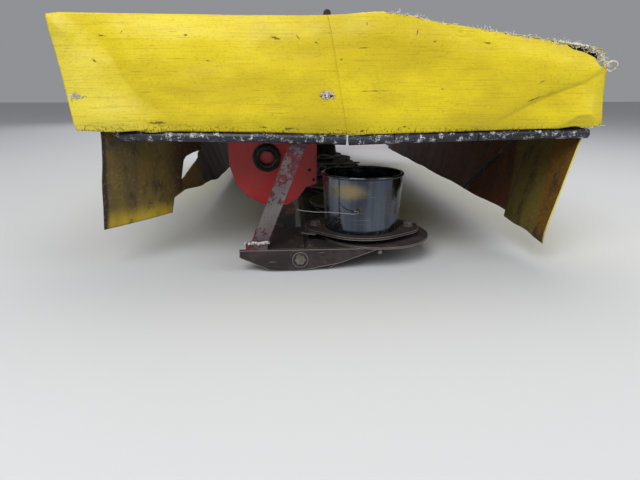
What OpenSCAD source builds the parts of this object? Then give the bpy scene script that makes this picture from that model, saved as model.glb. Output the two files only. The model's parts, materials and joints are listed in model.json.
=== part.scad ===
// Mounted disc mower, in millimetres.
// X points the way it travels, Y inwards along the cutter bar, Z up from the ground.
// Sizes are measured from the line through the disc centres and from the outer end's plane.

/* [Cutter bar] */
// Number of discs along the bar
disc_count = 6; // [3:1:8]
// Distance between neighbouring discs
disc_pitch = 400; // [380:5:440]
// First disc's centre from the outer end
first_disc = 150; // [140:1:180]
// Bar depth behind the disc line
bar_rear = 190; // [150:1:210]
// Bar depth in front of the disc line
bar_front = 60; // [50:1:75]
// Bar bottom above the ground
bar_low = 18; // [12:1:22]
// Bar thickness
bar_thick = 48; // [40:1:52]
// Width of each skid plate
skid_w = 250; // [180:5:270]
// Stone guard's radius
guard_r = 176; // [165:1:180]
// Stone guard's centre in front of the disc line
guard_x = 45; // [30:1:55]
// Stone guard's plate thickness
guard_t = 6; // [4:0.5:8]

/* [Discs] */
// Long axis of the oval disc
disc_long = 370; // [330:5:376]
// Short axis of the oval disc
disc_short = 300; // [260:5:320]
// Disc plate thickness
disc_t = 8; // [5:1:10]
// Gap between the bearing tower and the disc
disc_gap = 5; // [5:0.5:8]
// Bearing tower height above the bar
tower_h = 19; // [16:1:26]
// Spindle radius
spindle_r = 20; // [15:1:25]
// Knife pivot's distance from the disc centre
knife_pivot = 150; // [140:1:155]
// Knife length beyond its pivot
knife_reach = 76; // [60:1:80]
// Knife width
knife_w = 46; // [35:1:50]
// Knife thickness
knife_t = 4; // [3:0.5:5]
// Angle at which the outer disc's parked knives hang back
knife_lag = 75; // [0:5:90]
// Angle of the first disc's long axis, seen from above
disc_turn = -6; // [-40:1:20]

/* [Drums] */
// Outer drum's rim radius
drum_top_r = 127.5; // [110:0.5:135]
// Outer drum's radius at its foot
drum_foot_r = 118; // [100:0.5:125]
// Outer drum's height
drum_h = 178; // [120:1:190]
// Drum sheet thickness
drum_wall = 3; // [2:0.5:5]
// Inner drum's height
inner_drum_h = 130; // [80:1:160]

/* [Outer shoe] */
// Shoe plate thickness
shoe_t = 14; // [10:1:18]
// Heel behind the disc line
shoe_heel = 385; // [340:1:400]
// Outer shoe's nose in front of the disc line
shoe_nose = 35; // [20:1:45]
// Inner shoe's nose in front of the disc line
inner_nose = 150; // [120:1:190]
// Sole thickness
sole_t = 8; // [6:1:10]
// Plug radius
plug_r = 24; // [16:1:26]

/* [Cover] */
// Cover's rear edge behind the disc line
cover_rear = 830; // [760:5:900]
// Guard's front edge in front of the disc line
cover_front = 655; // [600:5:700]
// Frame top above the ground
cover_top = 700; // [680:5:740]
// Frame tube size
rail = 40; // [30:1:45]
// Sheet thickness
sheet_t = 4; // [2:0.5:5]
// Guard hinge line behind the disc line
hinge_back = 125; // [100:1:150]
// Guard hinge above the frame top
hinge_rise = 15; // [14:1:18]
// Guard hinge pin radius
hinge_pin_r = 6; // [5:0.5:7]
// End tube radius
tube_r = 14; // [12:0.5:16]
// End tube's height above the ground
tube_z = 396; // [380:1:410]
// Front edge's drop below the frame top
front_drop = 78; // [60:1:100]
// Curtain hem above the ground
hem_z = 110; // [80:1:150]
// Front curtain's bend in front of the disc line
front_bend = 620; // [610:1:626]
// Front curtain's hem in front of the disc line
front_hem = 545; // [500:1:560]
// Front curtain stay's radius
stay_r = 8; // [5:0.5:9]
// Front curtain stay's place from the outer end at its head
stay_head = 330; // [300:1:360]
// Front curtain stay's place from the outer end at its foot
stay_foot = 676; // [600:1:700]
// Rear curtain's hem behind the disc line
rear_hem = 615; // [600:1:650]
// Rear curtain's drop below the hem at the inner end
hem_drop = 85; // [50:1:85]
// Corner flap's outer edge behind the disc line
flap_back = 765; // [740:1:780]
// Corner flap's width
flap_w = 225; // [200:1:240]
// Rear curtain's start from the outer end
rear_gap = 200; // [190:1:260]

/* [Carrier] */
// Carrier tube radius
carrier_r = 42.5; // [35:0.5:45]
// Carrier tube wall
carrier_wall = 5; // [4:0.5:8]
// Carrier tube behind the disc line
carrier_back = 300; // [290:1:310]
// Carrier tube's height
carrier_z = 310; // [300:1:330]
// Red end plate's distance from the outer end
end_plate_y = 238; // [225:1:250]
// Red end plate thickness
end_plate_t = 6; // [4:1:8]

/* [Fold hinge] */
// Fold hinge axis height
fold_z = 420; // [410:1:430]
// Fold hinge axis beyond the bar's inner end
fold_out = 180; // [170:1:190]
// Fold pin radius
fold_pin_r = 20; // [16:1:22]
// Fold plate thickness
fold_plate_t = 20; // [14:1:20]
// Lift eye's distance outwards from the fold axis
lift_eye_y = 100; // [90:1:110]
// Lift eye's height above the fold axis
lift_eye_z = 160; // [150:1:165]
// Lift cylinder's length between its eyes
lift_len = 680; // [680:1:690]
// Lift barrel radius
barrel_r = 34; // [30:1:36]
// Lift rod radius
rod_r = 16; // [12:1:18]
// Lift pin radius
lift_pin_r = 15; // [10:1:16]

/* [Swing frame] */
// Beam width
beam_w = 120; // [100:1:120]
// Beam height
beam_h = 120; // [100:1:130]
// Belt guard width
belt_w = 140; // [110:1:150]
// Belt guard radius at the fold axis
belt_fold_r = 150; // [130:1:155]
// Belt guard radius at the drive shaft
belt_drive_r = 130; // [110:1:135]
// Drive shaft's distance from the fold axis
drive_y = 480; // [470:1:490]
// Drive shaft radius
drive_r = 17.45; // [17.45:0.05:20]
// Drive shaft's free length
drive_free = 100; // [90:1:110]
// Drive shaft's radius inside its housing
drive_body_r = 20; // [19:0.5:22]

/* [Headstock] */
// Hitch pins in front of the disc line
hitch_x = 1000; // [980:5:1050]
// Hitch pins above the ground
hitch_z = 450; // [440:1:470]
// Headstock centre beyond the fold axis
headstock_out = 780; // [760:5:800]
// Half the distance between the hitch plates' faces
hitch_half = 412.5; // [412.5:0.5:415]
// Hitch pin radius
hitch_pin_r = 14; // [11:0.5:14.5]
// Hitch pin length
hitch_pin_len = 125; // [100:1:130]
// Top link hole above the hitch pins
top_link_rise = 610; // [560:5:620]
// Top link hole radius
top_link_r = 12.85; // [12.85:0.05:13.5]
// Gap between the top link's ears
top_link_gap = 52; // [52:1:56]
// Swing pin radius
swing_pin_r = 25; // [20:1:28]
// Parking stand leg radius
leg_r = 24; // [20:1:26]

/* [Hidden] */
$fn = 64;
// Radial clearance of every shaft and pin in its hole
run_gap = 0.06;
// Clearance beside a moving piece
side_gap = 5;
// Seam between two sheets or a sheet and its frame
seam = 0.3;
// How far a tube swells at a bend
bend_swell = 0.4;

// Heights
bar_top = bar_low + bar_thick;
tower_top = bar_top + tower_h;
disc_z = tower_top + disc_gap;
disc_top = disc_z + disc_t;
knife_z = disc_z - knife_t;
shoe_top = bar_top + 0.5;
tower_r = 62;
boss_h = 24;
boss_r = 58;

// Places along the bar
last_disc = first_disc + (disc_count - 1) * disc_pitch;
bar_start = shoe_t;
bar_end = last_disc + disc_short / 2 + 140;
function disc_y(i) = first_disc + (i - 1) * disc_pitch;
// Neighbours turn against each other and stand a quarter turn apart
function disc_angle(i) = (i % 2 == 1) ? disc_turn : -disc_turn - 90;

// Fold hinge, lift eye and cylinder
fold_y = bar_end + fold_out;
plate_x0 = -240;
plate_x1 = 0;
plate_in = plate_x0 + fold_plate_t;
eye_y = fold_y - lift_eye_y;
eye_z = fold_z + lift_eye_z;
barrel_pin_y = eye_y + lift_len;
eye_w = 70;
eye_x = (plate_in + plate_x1) / 2;
beam_x = eye_x - beam_w / 2;
eye_x0 = eye_x - eye_w / 2;

// Drive, swing pivot and headstock
drive_axis_y = fold_y + drive_y;
drive_axis_z = fold_z + 20;
belt_x = 100;
head_y = fold_y + headstock_out;
swing_x = hitch_x - 200;
swing_post_r = 45;
cross_x0 = hitch_x - 100;
cross_w = 75;
stand_x = cross_x0 - 32;
stand_y = head_y + 290;
foot_t = 12;
ear_front = hitch_x + 45;
pin_outer_y = head_y - hitch_half;
pin_inner_y = head_y + hitch_half;

// Cover
hinge_x = -hinge_back;
hinge_z = cover_top + hinge_rise;
frame_y = tube_r;
cover_end = bar_end - 20;
rib_w = 30;
mid_rib_y = (frame_y + cover_end) / 2;
last_rib_y = cover_end - 2 * rib_w;
rail_gap = 8;
knuckle_r = 10;
front_x = cover_front - 25;
slope_x = 76;
front_z = cover_top - front_drop;

// Origin: the middle of the ground under the machine
x_min = -cover_rear;
x_max = ear_front;
y_min = -tube_r;
y_max = pin_inner_y + hitch_pin_len;
module placed() translate([-(x_min + x_max) / 2, -(y_min + y_max) / 2, 0]) children();

// A flat shape drawn as x and z, made t thick from y0 inwards
module slab_y(y0, t) translate([0, y0 + t, 0]) rotate([90, 0, 0]) linear_extrude(t) children();
// A flat shape drawn as y and z, made t thick from x0 forwards
module slab_x(x0, t) translate([x0, 0, 0]) rotate([90, 0, 90]) linear_extrude(t) children();
module rod_x(x0, x1, y, z, r) translate([x0, y, z]) rotate([0, 90, 0]) cylinder(r = r, h = x1 - x0);
module rod_y(y0, y1, x, z, r) translate([x, y0, z]) rotate([-90, 0, 0]) cylinder(r = r, h = y1 - y0);
module rod_z(z0, z1, x, y, r) translate([x, y, z0]) cylinder(r = r, h = z1 - z0);
module block(lo, hi) translate(lo) cube(hi - lo);
// A box tube along y, open at both ends
module box_tube_y(x0, x1, y0, y1, z0, z1, wall) difference() {
  block([x0, y0, z0], [x1, y1, z1]);
  block([x0 + wall, y0 - 1, z0 + wall], [x1 - wall, y1 + 1, z1 - wall]);
}
// A round bar through the listed points
module bent_tube(pts, r) {
  for (i = [0 : len(pts) - 2]) {
    d = pts[i + 1] - pts[i];
    translate(pts[i]) rotate([0, acos(d[2] / norm(d)), atan2(d[1], d[0])]) cylinder(r = r, h = norm(d));
  }
  for (i = [1 : len(pts) - 2]) translate(pts[i]) sphere(r = r + bend_swell, $fn = 32);
}

// Cutter bar
module cutter_bar() color([0.30, 0.20, 0.15]) placed() {
  difference() {
    slab_y(bar_start, bar_end - bar_start)
      polygon([[-bar_rear, bar_low], [bar_front - 12, bar_low], [bar_front, bar_low + 14],
               [bar_front, bar_top - 12], [bar_front - 12, bar_top], [-bar_rear + 14, bar_top],
               [-bar_rear, bar_top - 12]]);
    under_nose();
  }
  for (i = [1 : disc_count]) {
    rod_z(bar_top, tower_top, 0, disc_y(i), tower_r);
    rod_z(tower_top, disc_top + boss_h - 8, 0, disc_y(i), spindle_r);
  }
}

// The outer end rises to the shoe's nose: what is cut away below that line
module under_nose() slab_y(-1, first_disc + 11) polygon([
  [-130, -5], [-101, 13], [-85, 20], [shoe_nose - 18, bar_top - 9], [shoe_nose, bar_top + 1],
  [300, bar_top + 1], [300, -5]]);

// Round plate that lies on the bar in front of a disc and keeps stones off its knives
module stone_guard(i) difference() {
  rod_z(bar_top + seam, bar_top + seam + guard_t, guard_x, disc_y(i) + 12, guard_r);
  rod_z(bar_top - 1, tower_top, 0, disc_y(i), tower_r + 2);
}

// Side outline of a shoe: its heel, sole and turned-up nose
module shoe_outline(heel, nose, top) polygon([
  [-heel, top], [-heel + 27, top - 30], [-heel + 66, 12], [-heel + 121, 0], [-heel + 180, 0],
  [-101, 13], [-47, 28], [12, top - 13], [nose - 50, top - 4], [nose, top + 12], [nose - 10, top + 18],
  [20, top]]);

module outer_shoe() color([0.25, 0.18, 0.15]) placed() {
  slab_y(0, shoe_t) polygon([
    [-shoe_heel, shoe_top], [-shoe_heel, 45], [-shoe_heel + 88, 3], [-shoe_heel + 120, 0],
    [-shoe_heel + 170, 0], [-176, 5], [-85, 22], [shoe_nose - 18, shoe_top - 8.5],
    [shoe_nose, shoe_top]]);
  difference() {
    slab_y(shoe_t - 5, first_disc + skid_w / 2 - shoe_t + 5) polygon([
      [-bar_rear - 90, bar_low - seam], [-bar_rear - 70, sole_t], [-bar_rear - 50, 1],
      [bar_front - 60, 1], [bar_front - 12, bar_low - seam]]);
    under_nose();
  }
  stone_guard(1);
}

module shoe_plug() color([0.35, 0.28, 0.25]) placed() {
  rod_y(-4, 0, -205, 36, plug_r);
  rod_y(-10, -4, -205, 36, plug_r * 0.6, $fn = 6);
}

// Skid plate under one disc, turned up at its front edge to carry the stone guard
module skid(i) color([0.32, 0.22, 0.16]) placed() {
  slab_y(disc_y(i) - skid_w / 2, skid_w)
    polygon([[-bar_rear, bar_low - seam], [-bar_rear, bar_low - sole_t], [-bar_rear + 30, 0],
             [bar_front - 60, 0], [bar_front + 30, bar_low + 4], [bar_front + 62, bar_low + 26],
             [bar_front + 80, bar_top + seam + 1], [bar_front + 70, bar_top + seam + 1],
             [bar_front + 52, bar_low + 32], [bar_front + 20, bar_low + 14],
             [bar_front + 2, bar_low + 2], [bar_front - 12, bar_low - seam]]);
  stone_guard(i);
}
module skid_2() skid(2);
module skid_3() skid(3);
module skid_4() skid(4);
module skid_5() skid(5);
module skid_6() skid(6);

module inner_shoe() color([0.25, 0.18, 0.15]) placed()
  slab_y(bar_end + seam, shoe_t) shoe_outline(bar_rear + 110, inner_nose, bar_top - 13);

// Bearing, heel strut and carrier
module heel_strut() color([0.45, 0.36, 0.34]) placed() {
  foot = [-333, shoe_top + seam];
  head = [-200, tube_z - 6];
  half = 25;
  slab_y(tube_r, 10) polygon([foot + [-half, 0], foot + [half, 0], head + [half, 0], head + [-half, 0]]);
  block([foot[0] - 32, 1, foot[1]], [foot[0] + 32, tube_r, foot[1] + 24]);
}

module carrier_tube() color([0.24, 0.22, 0.20]) placed() difference() {
  rod_y(end_plate_y + end_plate_t, cover_end - 20, -carrier_back, carrier_z, carrier_r);
  rod_y(end_plate_y, cover_end, -carrier_back, carrier_z, carrier_r - carrier_wall);
}

// Rounded plate that closes the carrier's outer end, with a raised rim and a pipe's end ring
module end_plate_shape(grow) {
  cx = -carrier_back + 15;
  w = 145 + grow;
  h = 95;
  polygon([[cx - w, carrier_z + h + 40], [cx - w, carrier_z - 20], [cx - w * 0.86, carrier_z - 85],
           [cx - w * 0.6, carrier_z - 128], [cx - w * 0.25, carrier_z - 154 - grow],
           [cx + w * 0.3, carrier_z - 160 - grow], [cx + w * 0.55, carrier_z - 138],
           [cx + w * 0.75, carrier_z - 100], [cx + w, carrier_z - 88], [cx + w, carrier_z + h + 40]]);
}
module carrier_end_plate() color([0.45, 0.08, 0.06]) placed() {
  slab_y(end_plate_y, end_plate_t) difference() {
    end_plate_shape(0);
    for (p = [[-150, 235], [-165, 268]]) translate(p) circle(r = 5);
  }
  difference() {
    rod_y(end_plate_y - 14, end_plate_y, -carrier_back - 5, carrier_z, 42);
    rod_y(end_plate_y - 15, end_plate_y - 2, -carrier_back - 5, carrier_z, 22);
  }
}

module carrier_bracket() color([0.08, 0.08, 0.08]) placed() {
  low = carrier_z - 140;
  block([-282, end_plate_y + end_plate_t, bar_top - 8], [-228, end_plate_y + end_plate_t + 10, low]);
  block([-282, end_plate_y + end_plate_t, bar_top - 30], [-bar_rear, end_plate_y + 54, bar_top - 8]);
  slab_y(end_plate_y + end_plate_t, 10)
    polygon([[-300, low], [-228, low], [-250, carrier_z - carrier_r], [-350, carrier_z - carrier_r]]);
}

// Inner end
gear_y = cover_end + 5;
gear_top = 300;
module inner_gearbox() color([0.30, 0.30, 0.30]) placed() {
  block([-110, gear_y, bar_top], [90, bar_end + 80, gear_top]);
  slab_x(plate_x1 + fold_plate_t, 70) {
    translate([fold_y, fold_z]) circle(r = 60);
    polygon([[bar_end, gear_top - 10], [bar_end + 80, gear_top - 10], [fold_y + 48, fold_z - 36],
             [fold_y - 48, fold_z + 36]]);
  }
}

module fold_plate_shape() {
  translate([fold_y, fold_z]) circle(r = 48);
  translate([eye_y, eye_z]) circle(r = 34);
  polygon([[gear_y - 5, fold_z + 50], [gear_y - 5, gear_top - 70], [bar_end + 60, gear_top + 0.3],
           [fold_y + 28, fold_z - 39], [fold_y + 44, fold_z + 20], [eye_y + 33, eye_z + 8],
           [eye_y - 26, eye_z + 22]]);
}
module fold_bracket() color([0.35, 0.07, 0.05]) placed() {
  for (x = [plate_x0, plate_x1]) slab_x(x, fold_plate_t) difference() {
    fold_plate_shape();
    translate([0, bar_top - 10]) square([gear_y + 400, gear_top - bar_top + 10.3]);
  }
  slab_y(gear_y - 25, 20) difference() {
    polygon([[-carrier_back - 60, carrier_z - 60], [-carrier_back - 60, fold_z + 50],
             [plate_x1 + fold_plate_t, fold_z + 50], [plate_x1 + fold_plate_t, gear_top - 70]]);
    translate([-carrier_back, carrier_z]) circle(r = carrier_r + seam);
  }
  rod_x(plate_x0 - 10, plate_x1 + fold_plate_t, fold_y, fold_z, fold_pin_r);
  for (s = [[plate_in, eye_x0 - 2 * side_gap], [eye_x0 + eye_w + 2 * side_gap, plate_x1]])
    rod_x(s[0], s[1], eye_y, eye_z, 12);
}

// Rear cover
rear_rail_x = -cover_rear + 10;
function curtain_rear(off) = [[rear_rail_x - 1 - off, cover_top - seam], [rear_rail_x - 1 - off, cover_top - 45],
                              [-rear_hem - off, hem_z - hem_drop]];
module rib_rear(y) slab_y(y, rib_w)
  polygon([[rear_rail_x + rail, cover_top - rail], [hinge_x - rail_gap - rail, cover_top - rail],
           [hinge_x - rail_gap - rail, cover_top], [rear_rail_x + rail, cover_top]]);
module cover_frame() color([0.12, 0.12, 0.13]) placed() {
  box_tube_y(rear_rail_x, rear_rail_x + rail, frame_y, cover_end, cover_top - rail, cover_top, 4);
  box_tube_y(hinge_x - rail_gap - rail, hinge_x - rail_gap, frame_y, cover_end, cover_top - rail,
             cover_top, 4);
  for (y = [frame_y, mid_rib_y, last_rib_y]) rib_rear(y);
  for (y = [mid_rib_y, last_rib_y])
    block([-carrier_back - 20, y, carrier_z + carrier_r], [-carrier_back + 20, y + rib_w, cover_top - rail]);
  block([-660, frame_y, tube_z + tube_r + 5], [-660 + rail, frame_y + 20, cover_top - rail]);
  block([hinge_x - rail_gap - rail, frame_y, tube_z - 6], [hinge_x - rail_gap, frame_y + 20, cover_top - rail]);
  for (y = [70, mid_rib_y - 60, cover_end - 120]) difference() {
    union() {
      rod_y(y, y + 40, hinge_x, hinge_z, knuckle_r);
      block([hinge_x - 30, y, cover_top], [hinge_x, y + 40, cover_top + 8]);
    }
    rod_y(y - 1, y + 41, hinge_x, hinge_z, hinge_pin_r + run_gap);
  }
}

module rear_end_tube() color([0.10, 0.11, 0.14]) placed()
  bent_tube([[-732, tube_r + 12, tube_z + 84], [-724, tube_r + 10, tube_z + 36],
             [-690, tube_r + 5, tube_z + 5], [-560, 0, tube_z + 4], [-300, 0, tube_z],
             [hinge_x + 52, 0, tube_z - 9]], tube_r);

module rear_top_sheet() color([0.85, 0.75, 0.12]) placed()
  slab_y(tube_r / 6, cover_end - tube_r / 6) polygon([
    [-cover_rear, cover_top + seam], [hinge_x - rail_gap - 26, cover_top + seam],
    [hinge_x - rail_gap - 26, cover_top + seam + sheet_t], [-cover_rear, cover_top + seam + sheet_t]]);

seam_top = hinge_x + 2;
seam_low = hinge_x + 58;
module rear_end_sheet() color([0.90, 0.80, 0.12]) placed() slab_y(-sheet_t / 2, sheet_t) polygon([
  [-cover_rear, cover_top + sheet_t], [-cover_rear + 34, tube_z + tube_r + 6],
  [-cover_rear + 115, tube_z + tube_r + 4], [-cover_rear + 115, tube_z + 30], [-660, tube_z + tube_r + 5],
  [-520, tube_z + tube_r + 4.5], [-300, tube_z + tube_r + 0.5], [seam_low - side_gap, tube_z + tube_r],
  [seam_top - 3, cover_top + sheet_t]]);

// The rear curtain's hem drops towards the inner end
module rear_curtain() color([0.60, 0.50, 0.15]) placed() difference() {
  slab_y(rear_gap, cover_end - rear_gap)
    polygon(concat(curtain_rear(sheet_t), [for (i = [2 : -1 : 0]) curtain_rear(0)[i]]));
  slab_x(-cover_rear - 50, cover_rear) polygon([
    [rear_gap - 1, -10], [rear_gap - 1, hem_z + 50], [600, hem_z + 25], [1300, hem_z - 45],
    [cover_end + 1, hem_z - hem_drop], [cover_end + 1, -10]]);
}

// Loose corner flap: it runs from the end's plane inwards and forwards
module rear_corner_flap() color([0.70, 0.60, 0.15]) placed()
  translate([-flap_back, 8, 0]) rotate([0, 0, atan2(185, 145)])
    translate([0, 0, hem_z + 24]) cube([flap_w, sheet_t, cover_top - rail - seam - hem_z - 24]);

// Front guard
function guard_top(off) = [[hinge_x + rail_gap, cover_top + off], [slope_x, cover_top + off],
                           [front_x - rail, front_z + 9 + off]];
module rib_front(y) slab_y(y, rib_w)
  polygon(concat(guard_top(0), [for (i = [2 : -1 : 0]) guard_top(-rail)[i]]));
module guard_frame() color([0.12, 0.12, 0.13]) placed() {
  box_tube_y(hinge_x + rail_gap, hinge_x + rail_gap + rail, frame_y, cover_end, cover_top - rail,
             cover_top, 4);
  box_tube_y(front_x - rail, front_x, frame_y, cover_end, front_z - rail, front_z, 4);
  for (y = [frame_y, mid_rib_y, last_rib_y]) rib_front(y);
  for (p = [[hinge_x + 110, cover_top - rail], [front_x - rail * 2, front_z - rail / 2]])
    block([p[0], frame_y, tube_z - 6], [p[0] + rail, frame_y + 20, p[1]]);
  for (y = [70, mid_rib_y - 60, cover_end - 120]) {
    rod_y(y - 45, y + 42, hinge_x, hinge_z, hinge_pin_r);
    rod_y(y - 45, y - side_gap, hinge_x, hinge_z, knuckle_r);
    block([hinge_x, y - 45, cover_top], [hinge_x + 30, y - side_gap, cover_top + 8]);
  }
}

module front_end_tube() color([0.10, 0.11, 0.14]) placed()
  bent_tube([[hinge_x + 60, 0, tube_z - 10], [60, 0, tube_z - 6], [300, 0, tube_z + 1],
             [front_x - 4, 0, tube_z + 6]], tube_r);

module front_top_sheet() color([0.85, 0.75, 0.12]) placed() slab_y(tube_r / 6, cover_end - tube_r / 6)
  polygon([[hinge_x + rail_gap + 26, cover_top + seam], [slope_x, cover_top + seam],
           [front_x + 8, front_z + seam + 3], [front_x + 8, front_z + seam + 3 + sheet_t],
           [slope_x, cover_top + seam + sheet_t], [hinge_x + rail_gap + 26, cover_top + seam + sheet_t]]);

module front_end_sheet() color([0.90, 0.80, 0.12]) placed() slab_y(-sheet_t / 2, sheet_t) polygon([
  [seam_top + 3, cover_top + sheet_t], [seam_low + side_gap, tube_z + tube_r - 2], [60, tube_z + tube_r + 2],
  [300, tube_z + tube_r + 6], [590, tube_z + tube_r + 8], [600, tube_z + 46], [cover_front, tube_z + 40],
  [cover_front - 12, front_z - 48], [front_x - 30, front_z + 4], [slope_x, cover_top + sheet_t]]);

function curtain_front(off) = [[front_x + 1 + off, front_z - 2], [front_x + 1 + off, front_z - 46],
                               [front_bend + off, tube_z], [front_hem + off, hem_z - 10]];
module front_curtain() color([0.60, 0.50, 0.15]) placed() slab_y(tube_r + 2, cover_end - tube_r - 2)
  polygon(concat(curtain_front(sheet_t), [for (i = [3 : -1 : 0]) curtain_front(0)[i]]));

// Bar that hangs from the front rail and slants along the curtain's inner side
module curtain_stay() color([0.10, 0.10, 0.11]) placed() {
  head_x = front_bend - stay_r - 6;
  foot_z = hem_z + 10;
  foot_x = front_hem + (front_bend - front_hem) * 20 / (tube_z - hem_z + 10) - stay_r - 6;
  bent_tube([[head_x, stay_head, front_z - rail], [head_x, stay_head, tube_z + 4],
             [foot_x, stay_foot, foot_z]], stay_r);
}

// Discs
module oval() {
  d = (disc_long - disc_short) / 2 + 60;
  r = disc_long / 2 - d;
  big = disc_short / 2;
  a = acos((big - r) / d);
  circle(r = big);
  for (s = [-1, 1]) {
    translate([s * d, 0]) circle(r = r);
    polygon([[s * big * cos(a), big * sin(a)], [s * (d + r * cos(a)), r * sin(a)],
             [s * (d + r * cos(a)), -r * sin(a)], [s * big * cos(a), -big * sin(a)]]);
  }
}
module disc(i, cap) color([0.28, 0.19, 0.15]) placed()
  translate([0, disc_y(i), 0]) rotate([0, 0, disc_angle(i)]) {
    difference() {
      union() {
        translate([0, 0, disc_z]) linear_extrude(disc_t) oval();
        rod_z(disc_z, disc_top + boss_h, 0, 0, boss_r);
        if (cap) rod_z(disc_top + boss_h, disc_top + boss_h + 14, 0, 0, 34);
      }
      rod_z(disc_z - 1, disc_top + boss_h - 6, 0, 0, spindle_r + run_gap);
    }
    for (s = [0, 180]) rotate([0, 0, s]) translate([knife_pivot, 0, knife_z]) {
      translate([0, 0, -2]) cylinder(r = 10, h = disc_t + knife_t + 12);
      rotate([0, 0, i == 1 ? knife_lag : 0]) translate([-26, -knife_w / 2, 0])
        cube([26 + knife_reach, knife_w, knife_t]);
    }
  }
module disc_1() disc(1, false);
module disc_2() disc(2, true);
module disc_3() disc(3, true);
module disc_4() disc(4, true);
module disc_5() disc(5, true);
module disc_6() disc(6, false);

// Open-topped drum on the outermost disc
module outer_drum() color([0.75, 0.75, 0.75]) placed() translate([0, first_disc, disc_top])
  rotate_extrude() union() {
    polygon([[boss_r + seam, 0], [drum_foot_r, 0], [drum_foot_r + 1, drum_wall], [drum_top_r, drum_h - 6],
             [drum_top_r - drum_wall, drum_h - 6], [drum_foot_r - drum_wall, drum_wall],
             [boss_r + seam, drum_wall]]);
    translate([drum_top_r - drum_wall / 2, drum_h - 5]) circle(r = 5, $fn = 24);
  }
// Closed drum on the innermost disc
module inner_drum() color([0.35, 0.30, 0.25]) placed() translate([0, last_disc, disc_top])
  rotate_extrude() polygon([
    [boss_r + seam, 0], [115, 0], [100, inner_drum_h - 12], [88, inner_drum_h], [0, inner_drum_h],
    [0, inner_drum_h - drum_wall], [86, inner_drum_h - drum_wall], [97, inner_drum_h - 12],
    [112, drum_wall], [boss_r + seam, drum_wall]]);

// Swing frame
module swing_frame() color([0.35, 0.07, 0.05]) placed() {
  arm_z = fold_z - beam_h / 2;
  difference() {
    union() {
      rod_x(plate_in + side_gap, plate_x1 - side_gap, fold_y, fold_z, 38);
      block([beam_x, fold_y, arm_z + 22], [beam_x + beam_w, fold_y + 62, arm_z + beam_h - 22]);
    }
    rod_x(plate_x0, plate_x1, fold_y, fold_z, fold_pin_r + run_gap);
  }
  difference() {
    block([beam_x, fold_y + 60, arm_z], [beam_x + beam_w, head_y + 45, arm_z + beam_h]);
    block([beam_x + 8, fold_y + 68, arm_z + 8], [beam_x + beam_w - 8, head_y + 37, arm_z + beam_h - 8]);
  }
  difference() {
    block([beam_x + beam_w, head_y - 45, arm_z + 8], [swing_x, head_y + 45, arm_z + beam_h - 8]);
    block([beam_x + beam_w + 8, head_y - 37, arm_z + 16],
          [swing_x - swing_post_r, head_y + 37, arm_z + beam_h - 16]);
    rod_z(0, 2 * fold_z, swing_x, head_y, swing_post_r - 2);
  }
  difference() {
    rod_z(fold_z - 90, fold_z + 90, swing_x, head_y, swing_post_r);
    rod_z(fold_z - 91, fold_z + 91, swing_x, head_y, swing_pin_r + run_gap);
  }
  for (x = [eye_x0 - side_gap - 20, eye_x0 + eye_w + side_gap]) slab_x(x, 20) difference() {
    union() {
      translate([barrel_pin_y, eye_z]) circle(r = 30);
      translate([barrel_pin_y - 30, arm_z + beam_h]) square([60, eye_z - arm_z - beam_h]);
    }
    translate([barrel_pin_y, eye_z]) circle(r = lift_pin_r + run_gap);
  }
  difference() {
    rod_x(beam_x + beam_w, belt_x, drive_axis_y, drive_axis_z, 50);
    rod_x(0, belt_x + 1, drive_axis_y, drive_axis_z, drive_body_r + run_gap);
  }
}

module belt_outline(off) hull() {
  translate([fold_y, fold_z]) circle(r = belt_fold_r - off, $fn = 48);
  translate([drive_axis_y, drive_axis_z]) circle(r = belt_drive_r - off, $fn = 48);
}
module belt_guard() color([0.12, 0.12, 0.13]) placed() difference() {
  slab_x(belt_x, belt_w) belt_outline(0);
  slab_x(belt_x + 4, belt_w - 8) belt_outline(4);
  rod_x(belt_x - 1, belt_x + belt_w + 1, drive_axis_y, drive_axis_z, drive_body_r + side_gap);
}

drive_start = belt_x + belt_w + 20;
module drive_shaft() color([0.5, 0.5, 0.5]) placed() {
  rod_x(10, drive_start, drive_axis_y, drive_axis_z, drive_body_r);
  rod_x(drive_start, drive_start + drive_free, drive_axis_y, drive_axis_z, drive_r);
}

// Lift cylinder, lying along y at rest
rod_total = 370;
barrel_len = 392;
piston_r = 25;
module lift_barrel() color([0.35, 0.07, 0.05]) placed() difference() {
  union() {
    rod_y(barrel_pin_y - barrel_len, barrel_pin_y - 34, eye_x, eye_z, barrel_r);
    rod_x(eye_x0, eye_x0 + eye_w, barrel_pin_y, eye_z, 28);
    block([eye_x0, barrel_pin_y - 40, eye_z - 18], [eye_x0 + eye_w, barrel_pin_y, eye_z + 18]);
    rod_x(eye_x0 - side_gap - 26, eye_x0 + eye_w + side_gap + 26, barrel_pin_y, eye_z, lift_pin_r);
  }
  rod_y(barrel_pin_y - barrel_len + 20, barrel_pin_y - 55, eye_x, eye_z, piston_r + run_gap);
  rod_y(barrel_pin_y - barrel_len - 1, barrel_pin_y - 55, eye_x, eye_z, rod_r + run_gap);
}
module lift_rod() color([0.75, 0.75, 0.78]) placed() {
  rod_y(eye_y + 18, eye_y + rod_total, eye_x, eye_z, rod_r);
  rod_y(eye_y + rod_total - 25, eye_y + rod_total, eye_x, eye_z, piston_r);
  difference() {
    rod_x(eye_x0, eye_x0 + eye_w, eye_y, eye_z, 24);
    rod_x(eye_x0 - 1, eye_x0 + eye_w + 1, eye_y, eye_z, 13);
  }
}

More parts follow.
